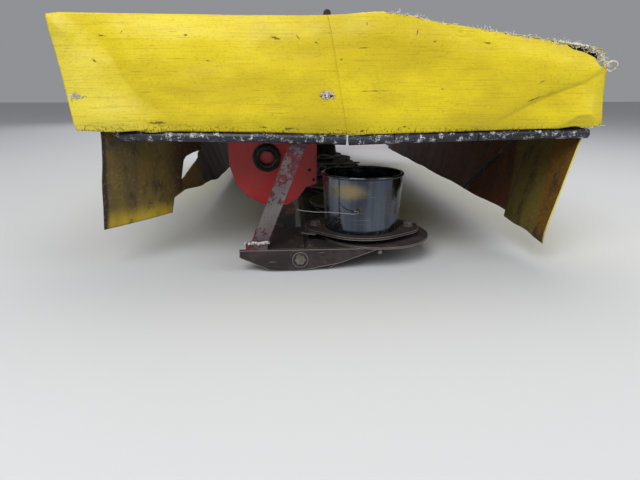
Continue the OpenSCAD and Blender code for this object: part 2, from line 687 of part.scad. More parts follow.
// Headstock
fork_low = fold_z - 120;
fork_high = fold_z + 120;
top_z = hitch_z + top_link_rise;
module headstock_mast() color([0.35, 0.07, 0.05]) placed() {
  for (s = [-1, 1]) slab_x(cross_x0 + 10, 50) polygon([
    [head_y + s * (hitch_half - 30), hitch_z + 50], [head_y + s * (hitch_half - 100), hitch_z + 50],
    [head_y + s * (top_link_gap / 2), top_z - 30], [head_y + s * (top_link_gap / 2 + 16), top_z + 10]]);
  for (s = [-1, 1]) difference() {
    slab_y(head_y + (s < 0 ? -top_link_gap / 2 - 16 : top_link_gap / 2), 16)
      polygon([[cross_x0 + 10, top_z - 70], [hitch_x + 10, top_z - 40], [ear_front, top_z],
               [hitch_x + 10, top_z + 38], [cross_x0 + 10, top_z + 38]]);
    rod_y(head_y - 100, head_y + 100, hitch_x, top_z, top_link_r);
  }
  block([cross_x0 + 10, head_y - top_link_gap / 2, top_z - 60], [cross_x0 + 40, head_y + top_link_gap / 2,
        top_z - 20]);
}
module headstock_frame() color([0.35, 0.07, 0.05]) placed() {
  block([cross_x0, head_y - hitch_half + 20, hitch_z - 50], [cross_x0 + cross_w, head_y + hitch_half - 20,
        hitch_z + 50]);
  for (y = [pin_outer_y, pin_inner_y - 20]) slab_y(y, 20)
    polygon([[cross_x0, hitch_z - 60], [hitch_x + 20, hitch_z - 40], [ear_front, hitch_z],
             [hitch_x + 20, hitch_z + 40], [cross_x0, hitch_z + 80]]);
  for (z = [fork_low, fork_high - 22]) block([swing_x - 60, head_y - 60, z], [cross_x0 + 10, head_y + 60,
    z + 22]);
  block([cross_x0 - 30, head_y - 60, fork_low], [cross_x0, head_y + 60, fork_high]);
  rod_z(fork_low - 10, fork_high + 10, swing_x, head_y, swing_pin_r);
  difference() {
    rod_z(hitch_z - 90, hitch_z + 90, stand_x, stand_y, leg_r + 9);
    rod_z(hitch_z - 91, hitch_z + 91, stand_x, stand_y, leg_r + run_gap);
  }
}
module lower_pin_outer() color([0.6, 0.6, 0.6]) placed()
  rod_y(pin_outer_y - hitch_pin_len, pin_outer_y, hitch_x, hitch_z, hitch_pin_r);
module lower_pin_inner() color([0.6, 0.6, 0.6]) placed()
  rod_y(pin_inner_y, pin_inner_y + hitch_pin_len, hitch_x, hitch_z, hitch_pin_r);
module parking_stand() color([0.12, 0.12, 0.13]) placed() {
  rod_z(0, foot_t, stand_x, stand_y, 70);
  rod_z(foot_t, hitch_z + 170, stand_x, stand_y, leg_r);
}

cutter_bar();
outer_shoe();
shoe_plug();
skid_2();
skid_3();
skid_4();
skid_5();
skid_6();
inner_shoe();
heel_strut();
carrier_tube();
carrier_end_plate();
carrier_bracket();
inner_gearbox();
fold_bracket();
cover_frame();
rear_end_tube();
rear_top_sheet();
rear_end_sheet();
rear_curtain();
rear_corner_flap();
guard_frame();
front_end_tube();
front_top_sheet();
front_end_sheet();
front_curtain();
curtain_stay();
disc_1();
disc_2();
disc_3();
disc_4();
disc_5();
disc_6();
outer_drum();
inner_drum();
swing_frame();
belt_guard();
drive_shaft();
lift_barrel();
lift_rod();
headstock_frame();
headstock_mast();
lower_pin_outer();
lower_pin_inner();
parking_stand();
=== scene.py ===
"""Disc mower seen from its outer end: cloth cover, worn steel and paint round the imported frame."""
import json
import math
import random
from functools import partialmethod

import bmesh
import bpy
from mathutils import Matrix, Vector, noise


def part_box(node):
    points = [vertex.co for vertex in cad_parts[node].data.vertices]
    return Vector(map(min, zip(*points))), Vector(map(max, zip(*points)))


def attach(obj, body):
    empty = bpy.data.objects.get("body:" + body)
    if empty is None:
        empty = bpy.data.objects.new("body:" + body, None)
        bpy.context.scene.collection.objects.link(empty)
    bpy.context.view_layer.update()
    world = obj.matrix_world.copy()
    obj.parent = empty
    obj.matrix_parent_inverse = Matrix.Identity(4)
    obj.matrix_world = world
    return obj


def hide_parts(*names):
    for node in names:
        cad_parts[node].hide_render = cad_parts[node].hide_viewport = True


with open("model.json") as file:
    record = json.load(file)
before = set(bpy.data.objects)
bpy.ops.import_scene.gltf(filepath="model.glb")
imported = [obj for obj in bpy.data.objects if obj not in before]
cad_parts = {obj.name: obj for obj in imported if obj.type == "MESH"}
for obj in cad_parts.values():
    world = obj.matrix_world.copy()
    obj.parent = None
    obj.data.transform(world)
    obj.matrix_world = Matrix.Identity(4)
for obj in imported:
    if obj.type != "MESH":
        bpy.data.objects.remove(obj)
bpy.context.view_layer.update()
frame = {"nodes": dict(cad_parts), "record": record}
random.seed(5)

# Places are measured from the line of disc centres, the outer end's plane and the ground
DISC_LINE = sum(c.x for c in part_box("disc_1")) / 2
OUTER_END = sum(c.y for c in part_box("rear_end_sheet")) / 2


def at(x, y, z):
    return Vector((DISC_LINE + x, OUTER_END + y, z))


# Camera and stage: metres, degrees and millimetres of lens
CAMERA_PLACE = at(-0.236, -1.36, 0.51)
CAMERA_PITCH = -16.9
CAMERA_YAW = 3.8
LENS = 27
SENSOR = 36
FLOOR_SIZE = 30
FLOOR_DROP = 0.001
FLOOR_TONE = (0.60, 0.61, 0.62, 1)
SKY_TONE = (0.93, 0.95, 1.0, 1)
SKY_STRENGTH = 0.30
# Name, place, size, watts, and the place it faces
LAMPS = (
    ("key", (-1.6, -5.0, 3.6), 3.0, 175, (0, -0.6, 0.4)),
    ("fill", (3.4, -3.4, 2.8), 3.0, 60, (0, -0.6, 0.3)),
    ("top", (0.3, 0.6, 4.8), 4.0, 120, (0, 0, 0)),
    ("back", (-2.6, 5.6, 3.2), 3.0, 60, (0, 1.6, 0.3)),
)


def add_to_scene(name, data):
    made = bpy.data.objects.new(name, data)
    bpy.context.scene.collection.objects.link(made)
    return made


def make_camera():
    data = bpy.data.cameras.new("camera")
    data.lens = LENS
    data.sensor_width = SENSOR
    camera = add_to_scene("camera", data)
    camera.location = CAMERA_PLACE
    camera.rotation_euler = (math.radians(90 + CAMERA_PITCH), 0, math.radians(-CAMERA_YAW))
    bpy.context.scene.camera = camera


def make_stage():
    mesh = bpy.data.meshes.new("floor")
    bm = bmesh.new()
    bmesh.ops.create_grid(bm, x_segments=1, y_segments=1, size=FLOOR_SIZE)
    bm.to_mesh(mesh)
    bm.free()
    floor = add_to_scene("floor", mesh)
    floor.location.z = -FLOOR_DROP
    made = bpy.data.materials.new("pale floor")
    made.use_nodes = True
    shader = made.node_tree.nodes["Principled BSDF"]
    shader.inputs["Base Color"].default_value = FLOOR_TONE
    shader.inputs["Roughness"].default_value = 0.9
    mesh.materials.append(made)


def make_lights():
    world = bpy.data.worlds.new("studio")
    bpy.context.scene.world = world
    world.use_nodes = True
    sky = world.node_tree.nodes["Background"]
    sky.inputs["Color"].default_value = SKY_TONE
    sky.inputs["Strength"].default_value = SKY_STRENGTH
    for name, place, size, power, aim in LAMPS:
        data = bpy.data.lights.new(name, "AREA")
        data.size = size
        data.energy = power
        lamp = add_to_scene(name, data)
        lamp.location = place
        lamp.rotation_euler = (Vector(aim) - Vector(place)).to_track_quat("-Z", "Y").to_euler()


# Shader building
def tone(r, g, b):
    """A colour written as 0 to 255 on screen, as linear values"""
    def straight(c):
        c /= 255
        return c / 12.92 if c <= 0.04045 else ((c + 0.055) / 1.055) ** 2.4
    return (straight(r), straight(g), straight(b), 1)


class Shade:
    """Adds nodes to one tree. A value is a number, a tone or the output of another node"""

    def __init__(self, tree, material=None):
        self.tree = tree
        self.material = material

    def plug(self, socket, value):
        if isinstance(value, bpy.types.NodeSocket):
            self.tree.links.new(value, socket)
        else:
            socket.default_value = value

    def put(self, kind, settings=None, **values):
        """settings are the node's own properties. values are its inputs, by name or as i0, i1"""
        made = self.tree.nodes.new("ShaderNode" + kind)
        for key, value in (settings or {}).items():
            setattr(made, key, value)
        for key, value in values.items():
            numbered = key[0] == "i" and key[1:].isdigit()
            self.plug(made.inputs[int(key[1:]) if numbered else key.replace("_", " ")], value)
        return made

    def sums(self, operation, *values, kind="Math", result=0):
        inputs = {f"i{i}": value for i, value in enumerate(values)}
        return self.put(kind, {"operation": operation}, **inputs).outputs[result]

    plus = partialmethod(sums, "ADD")
    minus = partialmethod(sums, "SUBTRACT")
    times = partialmethod(sums, "MULTIPLY")
    times_plus = partialmethod(sums, "MULTIPLY_ADD")
    higher = partialmethod(sums, "MAXIMUM")
    vector = partialmethod(sums, kind="VectorMath")
    dot = partialmethod(sums, "DOT_PRODUCT", kind="VectorMath", result="Value")
    length = partialmethod(sums, "LENGTH", kind="VectorMath", result="Value")

    def axes(self, spot):
        """The x, y and z of a vector"""
        return self.put("SeparateXYZ", Vector=spot).outputs[:]

    def away(self, spot, centre, scale, turn=None):
        """How far spot is from centre, with each axis multiplied by scale. turn is round y"""
        local = self.vector("SUBTRACT", spot, centre)
        if turn is not None:
            local = self.put("VectorRotate", {"rotation_type": "Y_AXIS"}, Vector=local,
                             Angle=turn).outputs[0]
        return self.length(self.vector("MULTIPLY", local, scale))

    def blend(self, factor, first, second):
        return self.put("Mix", {"data_type": "RGBA"}, i0=factor, i6=first, i7=second).outputs[2]

    def cover(self, under, over, mask, share):
        """Lays over on under where mask says, by share"""
        return self.blend(self.times(mask, share), under, over)

    def ramp(self, value, low, high):
        """0 at low, 1 at high, smooth between"""
        return self.put("MapRange", {"interpolation_type": "SMOOTHSTEP"}, Value=value,
                        From_Min=low, From_Max=high).outputs["Result"]

    def above(self, value, level, width):
        return self.ramp(value, level, self.plus(level, width))

    def noise(self, spot, scale, detail=5.0, rough=0.6):
        return self.put("TexNoise", Vector=spot, Scale=scale, Detail=detail,
                        Roughness=rough).outputs[0]

    def stretch(self, spot, scale, turn=0):
        """turn is round y, in degrees"""
        turned = (0, math.radians(turn), 0)
        return self.put("Mapping", Vector=spot, Scale=scale, Rotation=turned).outputs[0]

    def use(self, group, spot, **values):
        return self.put("Group", {"node_tree": group}, Vector=spot, **values).outputs[0]

    def finish(self, colour, rough, metal, height, strength, distance, specular=0.5):
        """Fills in the shader that the material starts with, and gives the material"""
        bump = self.put("Bump", Height=height, Strength=strength, Distance=distance)
        shader = self.tree.nodes["Principled BSDF"]
        for title, value in (("Base Color", colour), ("Roughness", rough), ("Metallic", metal),
                             ("Normal", bump.outputs[0]), ("Specular IOR Level", specular)):
            self.plug(shader.inputs[title], value)
        return self.material


def new_group(name, result, **numbers):
    """A node group with a vector and these numbers as inputs. Gives its shade, output and inputs"""
    tree = bpy.data.node_groups.new(name, "ShaderNodeTree")
    tree.interface.new_socket("Vector", in_out="INPUT", socket_type="NodeSocketVector")
    for title, start in numbers.items():
        socket = tree.interface.new_socket(title, in_out="INPUT", socket_type="NodeSocketFloat")
        socket.default_value = start
    tree.interface.new_socket(result, in_out="OUTPUT", socket_type="NodeSocketFloat")
    given = tree.nodes.new("NodeGroupInput").outputs[:1 + len(numbers)]
    return Shade(tree), tree.nodes.new("NodeGroupOutput").inputs[0], *given


def grime_group():
    """Patchy dirt: broad stains broken up by fine speckle. Amount 0 shows none, 1 nearly covers"""
    s, out, spot, scale, amount = new_group("grime", "Mask", Scale=4.0, Amount=0.5)
    broad = s.noise(spot, scale, 6.0, 0.62)
    fine = s.noise(spot, s.times(scale, 9.0), 5.0, 0.7)
    both = s.times_plus(fine, 0.4, s.times(broad, 0.6))
    edge = s.times_plus(amount, -0.34, 0.68)
    s.plug(out, s.ramp(both, s.minus(edge, 0.05), s.plus(edge, 0.05)))
    return s.tree


def scratch_group():
    """Short strokes: the caller squeezes the vector across them. Amount is how many show"""
    s, out, spot, amount = new_group("scratches", "Mask", Amount=0.5)
    s.plug(out, s.above(s.noise(spot, 1.0, 2.0, 0.5), s.times_plus(amount, -0.2, 0.76), 0.05))
    return s.tree


def wear_group():
    """Bare edges: where a rounded normal leaves the true one, broken up by noise"""
    s, out, spot, radius, amount = new_group("edge wear", "Mask", Radius=0.004, Amount=0.5)
    rounded = s.put("Bevel", {"samples": 4}, Radius=radius).outputs[0]
    turned = s.minus(1.0, s.dot(rounded, s.put("NewGeometry").outputs["Normal"]))
    level = s.times(s.noise(spot, 60.0, 5.0, 0.7), s.times_plus(amount, -0.3, 0.34))
    s.plug(out, s.above(turned, level, 0.05))
    return s.tree


def flake_group():
    """Flaking: hard-edged chips inside worn patches"""
    s, out, spot, scale, amount = new_group("flakes", "Mask", Scale=30.0, Amount=0.5)
    patch = s.noise(spot, s.times(scale, 0.22), 4.0, 0.5)
    chip = s.noise(spot, scale, 9.0, 0.75)
    both = s.times_plus(patch, 0.45, s.times(chip, 0.55))
    s.plug(out, s.above(both, s.times_plus(amount, -0.26, 0.63), 0.012))
    return s.tree


def weave_group():
    """Coated cloth: the fine square weave that shows through the coating"""
    s, out, spot, scale = new_group("weave", "Height", Scale=300.0)
    across, up = (s.put("TexWave", {"bands_direction": axis}, Vector=spot, Scale=scale).outputs[1]
                  for axis in "XZ")
    s.plug(out, s.plus(across, up))
    return s.tree


GRIME = grime_group()
SCRATCH = scratch_group()
WEAR = wear_group()
FLAKES = flake_group()
WEAVE = weave_group()


# Finishes
def start_finish(name):
    """The shade of a new material, and the object coordinates"""
    made = bpy.data.materials.new(name)
    made.use_nodes = True
    s = Shade(made.node_tree, made)
    return s, s.put("TexCoord").outputs["Object"]


def scaled(colour, share):
    return [c * share for c in colour[:3]] + [1]


def worn_paint(name, colour, faded, bare, wear=0.5, dirt=0.35, rough=0.5, chips=0.25,
               chip_scale=38.0):
    """Old paint: faded in patches, chipped at the edges down to rust, dusty"""
    s, spot = start_finish(name)
    paint = s.blend(s.ramp(s.noise(spot, 3.5), 0.36, 0.66), colour, faded)
    grain = s.noise(spot, 75.0, 6.0, 0.7)
    rust = s.blend(s.ramp(grain, 0.35, 0.65), bare, scaled(bare, 0.4))
    edges = s.use(WEAR, spot, Radius=0.005, Amount=wear) if wear else 0.0
    lost = s.higher(edges, s.use(FLAKES, spot, Scale=chip_scale, Amount=chips))
    dirty = s.use(GRIME, spot, Scale=6.0, Amount=dirt)
    colour_out = s.cover(s.blend(lost, paint, rust), DUST, dirty, 0.65)
    rough_out = s.times_plus(s.higher(lost, dirty), 0.35, rough)
    height = s.minus(s.times(grain, 0.25), lost)
    return s.finish(colour_out, rough_out, 0.0, height, 0.35, 0.0008)


def bare_metal(name, dark, bright, shine=0.35, dirt=0.35, metal=0.85, polish=0.3, strokes=0.4,
               edge_wear=0.8):
    """Worked steel: dark rust broken by polished patches, strokes and edges"""
    s, spot = start_finish(name)
    rusty = s.blend(s.ramp(s.noise(spot, 14.0, 9.0, 0.7), 0.4, 0.62), dark, scaled(dark, 1.9))
    shown = s.ramp(s.noise(spot, 6.0, 8.0, 0.7), 0.70 - polish * 0.45, 0.86 - polish * 0.45)
    edges = s.use(WEAR, spot, Radius=0.004, Amount=edge_wear)
    lines = s.use(SCRATCH, s.stretch(spot, (14, 60, 300)), Amount=strokes)
    polished = s.higher(shown, s.higher(edges, s.times(lines, 0.6)))
    dirty = s.use(GRIME, spot, Scale=11.0, Amount=dirt)
    colour_out = s.cover(s.blend(polished, rusty, bright), DUST, dirty, 0.7)
    rough_out = s.times_plus(polished, shine - 0.8, 0.8)
    metal_out = s.times(s.higher(polished, 0.3), metal)
    metal_out = s.times(metal_out, s.times_plus(dirty, -0.8, 1.0))
    return s.finish(colour_out, rough_out, metal_out, s.noise(spot, 160.0, 5.0, 0.7), 0.3, 0.0008)


# A painted reflection of the yellow cover on the outer drum: its spot, and how fast it fades along
# each axis
DRUM_YELLOW_REFLECTION = at(-0.062, 0.04, 0.232)
DRUM_YELLOW_REFLECTION_FADE = (18, 14, 42)


def drum_steel():
    """Drum sheet: upright light and dark bands painted as reflections, a painted yellow reflection
    of the cover, brown patches and dirt, scratched round its girth
    """
    s, spot = start_finish("drum steel")
    reflection_bands = s.noise(s.stretch(spot, (15, 15, 1.2)), 1.0, 3.0, 0.5)
    patches = s.noise(s.stretch(spot, (1, 1, 0.6)), 16.0, 6.0, 0.6)
    # Painted reflections: upright light and dark bands round the drum
    base = s.blend(s.ramp(reflection_bands, 0.38, 0.64), tone(58, 63, 74), tone(104, 112, 124))
    base = s.cover(base, tone(96, 84, 56), s.ramp(patches, 0.5, 0.72), 0.5)
    # Painted reflection of the yellow cover, fading out from one spot
    away = s.away(spot, tuple(DRUM_YELLOW_REFLECTION), DRUM_YELLOW_REFLECTION_FADE)
    yellow_reflection = s.ramp(s.times_plus(patches, 0.9, away), 1.9, 0.6)
    base = s.cover(base, tone(150, 134, 92), yellow_reflection, 0.8)
    rings = s.use(SCRATCH, s.stretch(spot, (9, 9, 420)), Amount=0.4)
    base = s.cover(base, tone(205, 206, 204), rings, 0.35)
    stain = s.use(GRIME, spot, Scale=14.0, Amount=0.3)
    base = s.cover(base, tone(70, 54, 38), stain, 0.7)
    rough = s.times_plus(s.higher(stain, s.ramp(patches, 0.45, 0.75)), 0.3, 0.14)
    height = s.times_plus(rings, 0.04, s.noise(s.stretch(spot, (1, 1, 0.5)), 9.0, 3.0))
    return s.finish(base, rough, s.times_plus(stain, -0.7, 1.0), height, 0.25, 0.004)


YELLOW = tone(224, 203, 24)
MUSTARD = tone(203, 180, 20)
PAINTED_HIGHLIGHT_YELLOW = tone(226, 212, 92)
SOIL = tone(70, 56, 28)
OLIVE = tone(94, 82, 24)
BROWN = tone(92, 46, 18)
ORANGE_BROWN = tone(108, 72, 12)
SAP_BLACK = tone(30, 24, 18)
RUST = tone(120, 70, 42)
DUST = tone(112, 96, 76)

# Scuff marks on the end panel: place, half length, half height and slant in degrees
MARKS = (
    (-0.703, 0.653, 0.024, 0.005, 6), (-0.650, 0.661, 0.010, 0.003, -55),
    (-0.489, 0.653, 0.010, 0.005, 0), (-0.576, 0.628, 0.012, 0.004, 0),
    (-0.262, 0.648, 0.026, 0.010, 8), (-0.203, 0.648, 0.018, 0.003, 50),
    (-0.436, 0.592, 0.012, 0.004, 10), (-0.727, 0.592, 0.012, 0.006, 30),
    (-0.156, 0.636, 0.012, 0.005, 35), (-0.580, 0.437, 0.060, 0.008, 0),
    (-0.300, 0.424, 0.022, 0.006, 5), (-0.230, 0.420, 0.030, 0.006, -4),
    (-0.026, 0.684, 0.003, 0.011, 0), (0.106, 0.664, 0.004, 0.018, 16),
    (-0.034, 0.625, 0.032, 0.003, -4), (0.156, 0.643, 0.010, 0.005, -20),
    (-0.092, 0.597, 0.008, 0.006, 0), (0.000, 0.518, 0.075, 0.003, -1),
    (0.183, 0.523, 0.012, 0.003, 0), (0.458, 0.541, 0.020, 0.003, -30),
    (0.447, 0.497, 0.042, 0.0045, -20), (-0.029, 0.412, 0.014, 0.006, 0),
    (0.088, 0.423, 0.008, 0.006, 0), (0.300, 0.640, 0.030, 0.006, 8),
)


def scuff_mask(s, spot):
    """1 inside any of the listed marks, with ragged edges"""
    ragged = s.noise(s.stretch(spot, (1, 1, 2)), 120.0, 5.0, 0.75)
    total = 0.0
    for x, z, half_length, half_height, slant in MARKS:
        centre = at(x, 0, z)
        away = s.away(spot, (centre.x, 0, centre.z), (1 / half_length, 0, 1 / half_height),
                      math.radians(-slant))
        total = s.higher(total, s.minus(1.25, away))
    return s.ramp(s.times(total, ragged), 0.34, 0.55)


# How the panel's front top edge falls towards the front corner
TOP_FALL = 0.132


def panel_cloth():
    """The end panel: bright yellow coating with level strokes, scuffs and soil along its hem, and a
    painted highlight towards its rear
    """
    s, spot = start_finish("end panel cloth")
    x, _, z = s.axes(spot)
    x = s.minus(x, DISC_LINE)
    shade = s.noise(s.stretch(spot, (1.4, 1.4, 3.0)), 2.4)
    colour = s.blend(s.ramp(shade, 0.40, 0.66), YELLOW, MUSTARD)
    # Painted highlight: the rear end of the panel, more so low down, is made paler as if a folded
    # facet caught the light
    lit_left = s.ramp(s.times_plus(z, 0.8, x), -0.17, -0.36)
    colour = s.cover(colour, PAINTED_HIGHLIGHT_YELLOW, lit_left, 0.42)
    grain = s.noise(s.stretch(spot, (5, 5, 260), 1.5), 1.0, 6.0, 0.72)
    colour = s.cover(colour, tone(150, 122, 22), s.ramp(grain, 0.50, 0.66), 0.34)

    clusters = s.ramp(s.noise(spot, 6.0, 3.0), 0.42, 0.62)
    strokes = s.use(SCRATCH, s.stretch(spot, (11, 20, 520), 3), Amount=0.5)
    slanted = s.use(SCRATCH, s.stretch(spot, (18, 20, 420), -22), Amount=0.22)
    hairlines = s.times(s.higher(strokes, slanted), clusters)
    pinholes = s.noise(s.stretch(spot, (1, 1, 1.6)), 130.0, 6.0, 0.8)
    hairlines = s.higher(hairlines, s.times(s.ramp(pinholes, 0.555, 0.60), 0.4))
    colour = s.cover(colour, SOIL, hairlines, 0.6)
    scuffs = scuff_mask(s, spot)
    colour = s.cover(colour, tone(54, 44, 26), scuffs, 0.8)

    # Soil along the hem reaches higher behind the strut
    rear_low = s.ramp(x, -0.34, -0.46)
    low = s.ramp(z, s.times_plus(rear_low, 0.020, 0.430), 0.410)
    specks = s.ramp(s.noise(s.stretch(spot, (1, 1, 0.6)), 190.0, 4.0, 0.7), 0.50, 0.58)
    stain = s.use(GRIME, s.stretch(spot, (1, 1, 2)), Scale=14.0, Amount=0.6)
    hem_dirt = s.times(low, s.times(specks, s.higher(stain, 0.3)))
    colour = s.cover(colour, SOIL, hem_dirt, 0.85)

    # The coating is off in specks along the front of the top edge
    bare = s.ramp(s.noise(spot, 90.0, 6.0, 0.75), 0.58, 0.64)
    frayed = s.times(s.ramp(x, 0.05, 0.6), bare)
    top_edge = s.ramp(s.times_plus(x, TOP_FALL, z), 0.700, 0.712)
    colour = s.cover(colour, tone(232, 230, 214), frayed, top_edge)

    weave = s.use(WEAVE, spot, Scale=260.0)
    height = s.times_plus(weave, 0.02, s.minus(s.times(grain, 0.5), scuffs))
    rough = s.times_plus(s.higher(hem_dirt, scuffs), 0.35, 0.45)
    return s.finish(colour, rough, 0.0, height, 0.3, 0.0015, 0.35)


def clean_coating(s, spot):
    return s.blend(s.ramp(s.noise(spot, 2.6), 0.40, 0.64), YELLOW, MUSTARD)


def top_cloth():
    """The cover's top: the same coating, duller, with dust lying on it"""
    s, spot = start_finish("cover cloth")
    strokes = s.use(SCRATCH, s.stretch(spot, (60, 9, 20)), Amount=0.3)
    colour = s.cover(clean_coating(s, spot), SOIL, strokes, 0.5)
    dust = s.use(GRIME, spot, Scale=4.0, Amount=0.45)
    colour = s.cover(colour, tone(150, 130, 80), dust, 0.5)
    creases = s.noise(s.stretch(spot, (1, 0.6, 1)), 6.0, 3.0)
    return s.finish(colour, s.times_plus(dust, 0.3, 0.45), 0.0, creases, 0.25, 0.004)


def front_sap_and_glow(s, along_bar, height):
    """Front curtain: a clean outer edge, then orange-brown and olive strips that are painted light
    shining through the cloth near the outer end, and red-brown beyond
    """
    # Painted glow: the orange-brown and olive strips stand for daylight through the cloth
    past_strip = s.ramp(s.times_plus(height, -0.3, along_bar), 0.018, 0.030)
    past_olive = s.ramp(s.times_plus(height, -0.4, along_bar), 0.242, 0.254)
    sap_and_lighting = s.blend(past_olive, s.blend(past_strip, ORANGE_BROWN, OLIVE), BROWN)
    edge = s.ramp(along_bar, 0.015, 0.011)
    return s.blend(edge, sap_and_lighting, tone(226, 214, 96))


def rear_shade_and_light(s, along_bar, height):
    """Rear curtain: black-brown as painted shade from the machine, with a yellow-brown piece below
    the tear painted as lit from outside
    """
    # Painted light and shade: the piece below the tear is lit, the rest is shaded
    outer = s.ramp(along_bar, 1.10, 0.86)
    low = s.times(s.ramp(height, 0.235, 0.205), outer)
    return s.blend(low, tone(52, 32, 20), tone(168, 132, 66))


def flap_glow_and_shade(s, along_bar, height):
    """Corner flap: olive-brown, yellower towards its hem, painted as daylight glowing through the
    cloth; darker at its inner end above the tear as painted shade, and black along its rear edge
    """
    sap_and_lighting = s.blend(s.ramp(height, 0.200, 0.148), tone(104, 86, 34), tone(176, 148, 30))
    # Painted shade: the upper inner part by the tear is darker
    dark = s.ramp(along_bar, 0.16, 0.22)
    sap_and_lighting = s.cover(sap_and_lighting, tone(58, 34, 18), dark, s.ramp(height, 0.19, 0.21))
    return s.blend(s.ramp(along_bar, 0.022, 0.012), sap_and_lighting, SAP_BLACK)


def curtain_cloth(name, inner, sap_and_lighting_of, blot_size=15.0):
    """Curtain: yellow outside, brown with dried sap and mud on the face that looks along inner,
    whose base colours also hold painted light and shade
    """
    s, spot = start_finish(name)
    _, y, z = s.axes(spot)
    splash = s.use(GRIME, s.stretch(spot, (1, 1, 0.7)), Scale=9.0, Amount=0.5)
    splashed = s.times(splash, s.times_plus(s.ramp(z, 0.65, 0.1), 0.4, 0.12))
    outside = s.blend(splashed, clean_coating(s, spot), SOIL)
    runs = s.noise(s.stretch(spot, (9, 9, 1.6)), 1.0, 6.0, 0.65)
    # The inner face's base colour holds painted light and shade as well as sap
    sap_and_lighting = s.cover(sap_and_lighting_of(s, s.minus(y, OUTER_END), z), SAP_BLACK, s.ramp(runs, 0.48, 0.70), 0.5)
    blots = s.noise(s.stretch(spot, (1, 1, 0.7)), blot_size, 8.0, 0.7)
    sap_and_lighting = s.cover(sap_and_lighting, SAP_BLACK, s.ramp(blots, 0.50, 0.68), 0.75)
    specks = s.ramp(s.noise(spot, 95.0, 5.0, 0.75), 0.54, 0.64)
    sap_and_lighting = s.cover(sap_and_lighting, tone(150, 128, 62), specks, 0.3)
    facing = s.dot(s.put("TexCoord").outputs["Normal"], inner)
    colour = s.blend(s.ramp(facing, -0.2, 0.2), outside, sap_and_lighting)
    creases = s.times_plus(s.noise(spot, 60.0, 6.0, 0.7), 0.3, runs)
    return s.finish(colour, 0.66, 0.0, creases, 0.3, 0.003)


def frayed_thread():
    """Off-white thread and rope that the torn coating has laid bare"""
    s, spot = start_finish("frayed thread")
    shade = s.ramp(s.noise(spot, 120.0, 5.0, 0.7), 0.4, 0.66)
    colour = s.blend(shade, tone(226, 222, 206), tone(150, 138, 104))
    return s.finish(colour, 0.85, 0.0, s.noise(spot, 700.0, 2.0), 0.4, 0.0006)


FINISHES = {
    "bar": bare_metal("bar steel", tone(30, 24, 22), tone(104, 96, 90), 0.5, 0.3, polish=0.08),
    "shoe": bare_metal("shoe steel", tone(46, 38, 38), tone(186, 178, 170), 0.4, 0.15,
                       polish=0.10, strokes=0.25, edge_wear=0.95),
    # The strut's paint tones are kept dark as painted shade from the cover above it
    "strut": worn_paint("weathered strut in painted shade", tone(78, 68, 72), tone(104, 98, 96),
                        tone(104, 50, 56), 0.35, 0.2, 0.65, 0.42, 75.0),
    "red_paint": worn_paint("red paint", tone(168, 16, 13), tone(184, 28, 22),
                            tone(70, 34, 26), 0.3, 0.08, 0.38, 0.06),
    "black_paint": worn_paint("black paint", tone(22, 22, 25), tone(38, 38, 41), RUST, 0.3, 0.25),
    "tube_paint": worn_paint("tube paint", tone(18, 20, 32), tone(38, 41, 56),
                             tone(200, 200, 202), 0, 0.06, 0.4, 0.31, 230.0),
    "sheet": top_cloth(),
    "curtain": curtain_cloth("rear curtain cloth", (1, 0, 0), rear_shade_and_light),
    "disc": bare_metal("disc steel", tone(34, 27, 26), tone(170, 162, 154), 0.38, 0.2,
                       polish=0.08, strokes=0.25, edge_wear=0.95),
    "drum": drum_steel(),
    "steel": bare_metal("bright steel", tone(110, 106, 100), tone(190, 188, 184), 0.3, 0.2,
                        polish=0.8),
    "chrome": bare_metal("rod chrome", tone(160, 160, 162), tone(222, 222, 224), 0.12, 0.1, 1.0,
                         polish=1.2),
}
PANEL = panel_cloth()
FRONT_CURTAIN = curtain_cloth("front curtain cloth", (-1, 0, 0), front_sap_and_glow)
FLAP = curtain_cloth("corner flap cloth", (0.6, -0.8, 0), flap_glow_and_shade, 22.0)
THREAD = frayed_thread()
BOLT_STEEL = bare_metal("bolt steel", tone(62, 56, 52), tone(150, 145, 138), 0.35, 0.25,
                        polish=0.35)
HUB_STEEL = bare_metal("hub steel", tone(26, 26, 24), tone(190, 186, 172), 0.3, 0.2, polish=0.12)
WELD_STEEL = worn_paint("weld bead", tone(196, 192, 190), tone(160, 152, 150), tone(96, 62, 52),
                        0.1, 0.25, 0.6, 0.3)
SLOT_OF = {row["node"]: row["material_slot"] for row in frame["record"]["subparts"]}


def dress_nodes():
    for name, node in frame["nodes"].items():
        node.data.materials.clear()
        node.data.materials.append(FINISHES[SLOT_OF[name]])


# Pieces
def link_piece(name, mesh, body, slot, finish=None, stands_for=()):
    piece = add_to_scene(name, mesh)
    mesh.materials.clear()
    mesh.materials.append(finish or FINISHES[slot])
    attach(piece, body)
    if stands_for:
        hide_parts(*stands_for)
    return piece


def new_piece(name, bm, body, slot, finish=None, stands_for=()):
    mesh = bpy.data.meshes.new(name)
    bm.to_mesh(mesh)
    bm.free()
    return link_piece(name, mesh, body, slot, finish, stands_for)


def wires(name, lines, radius, body, slot, finish=None, uneven=0.0):
    """Round strands through lists of points. uneven varies their thickness along the way"""
    curve = bpy.data.curves.new(name, "CURVE")
    curve.dimensions = "3D"
    curve.bevel_depth = radius
    curve.bevel_resolution = 2
    curve.use_fill_caps = True
    for line in lines:
        strand = curve.splines.new("POLY")
        strand.points.add(len(line) - 1)
        for point, place in zip(strand.points, line):
            point.co = (*place, 1)
            point.radius = 1 + uneven * random.uniform(-1, 1)
    carrier = bpy.data.objects.new(name, curve)
    mesh = bpy.data.meshes.new_from_object(carrier)
    bpy.data.objects.remove(carrier)
    bpy.data.curves.remove(curve)
    link_piece(name, mesh, body, slot, finish).data.shade_smooth()


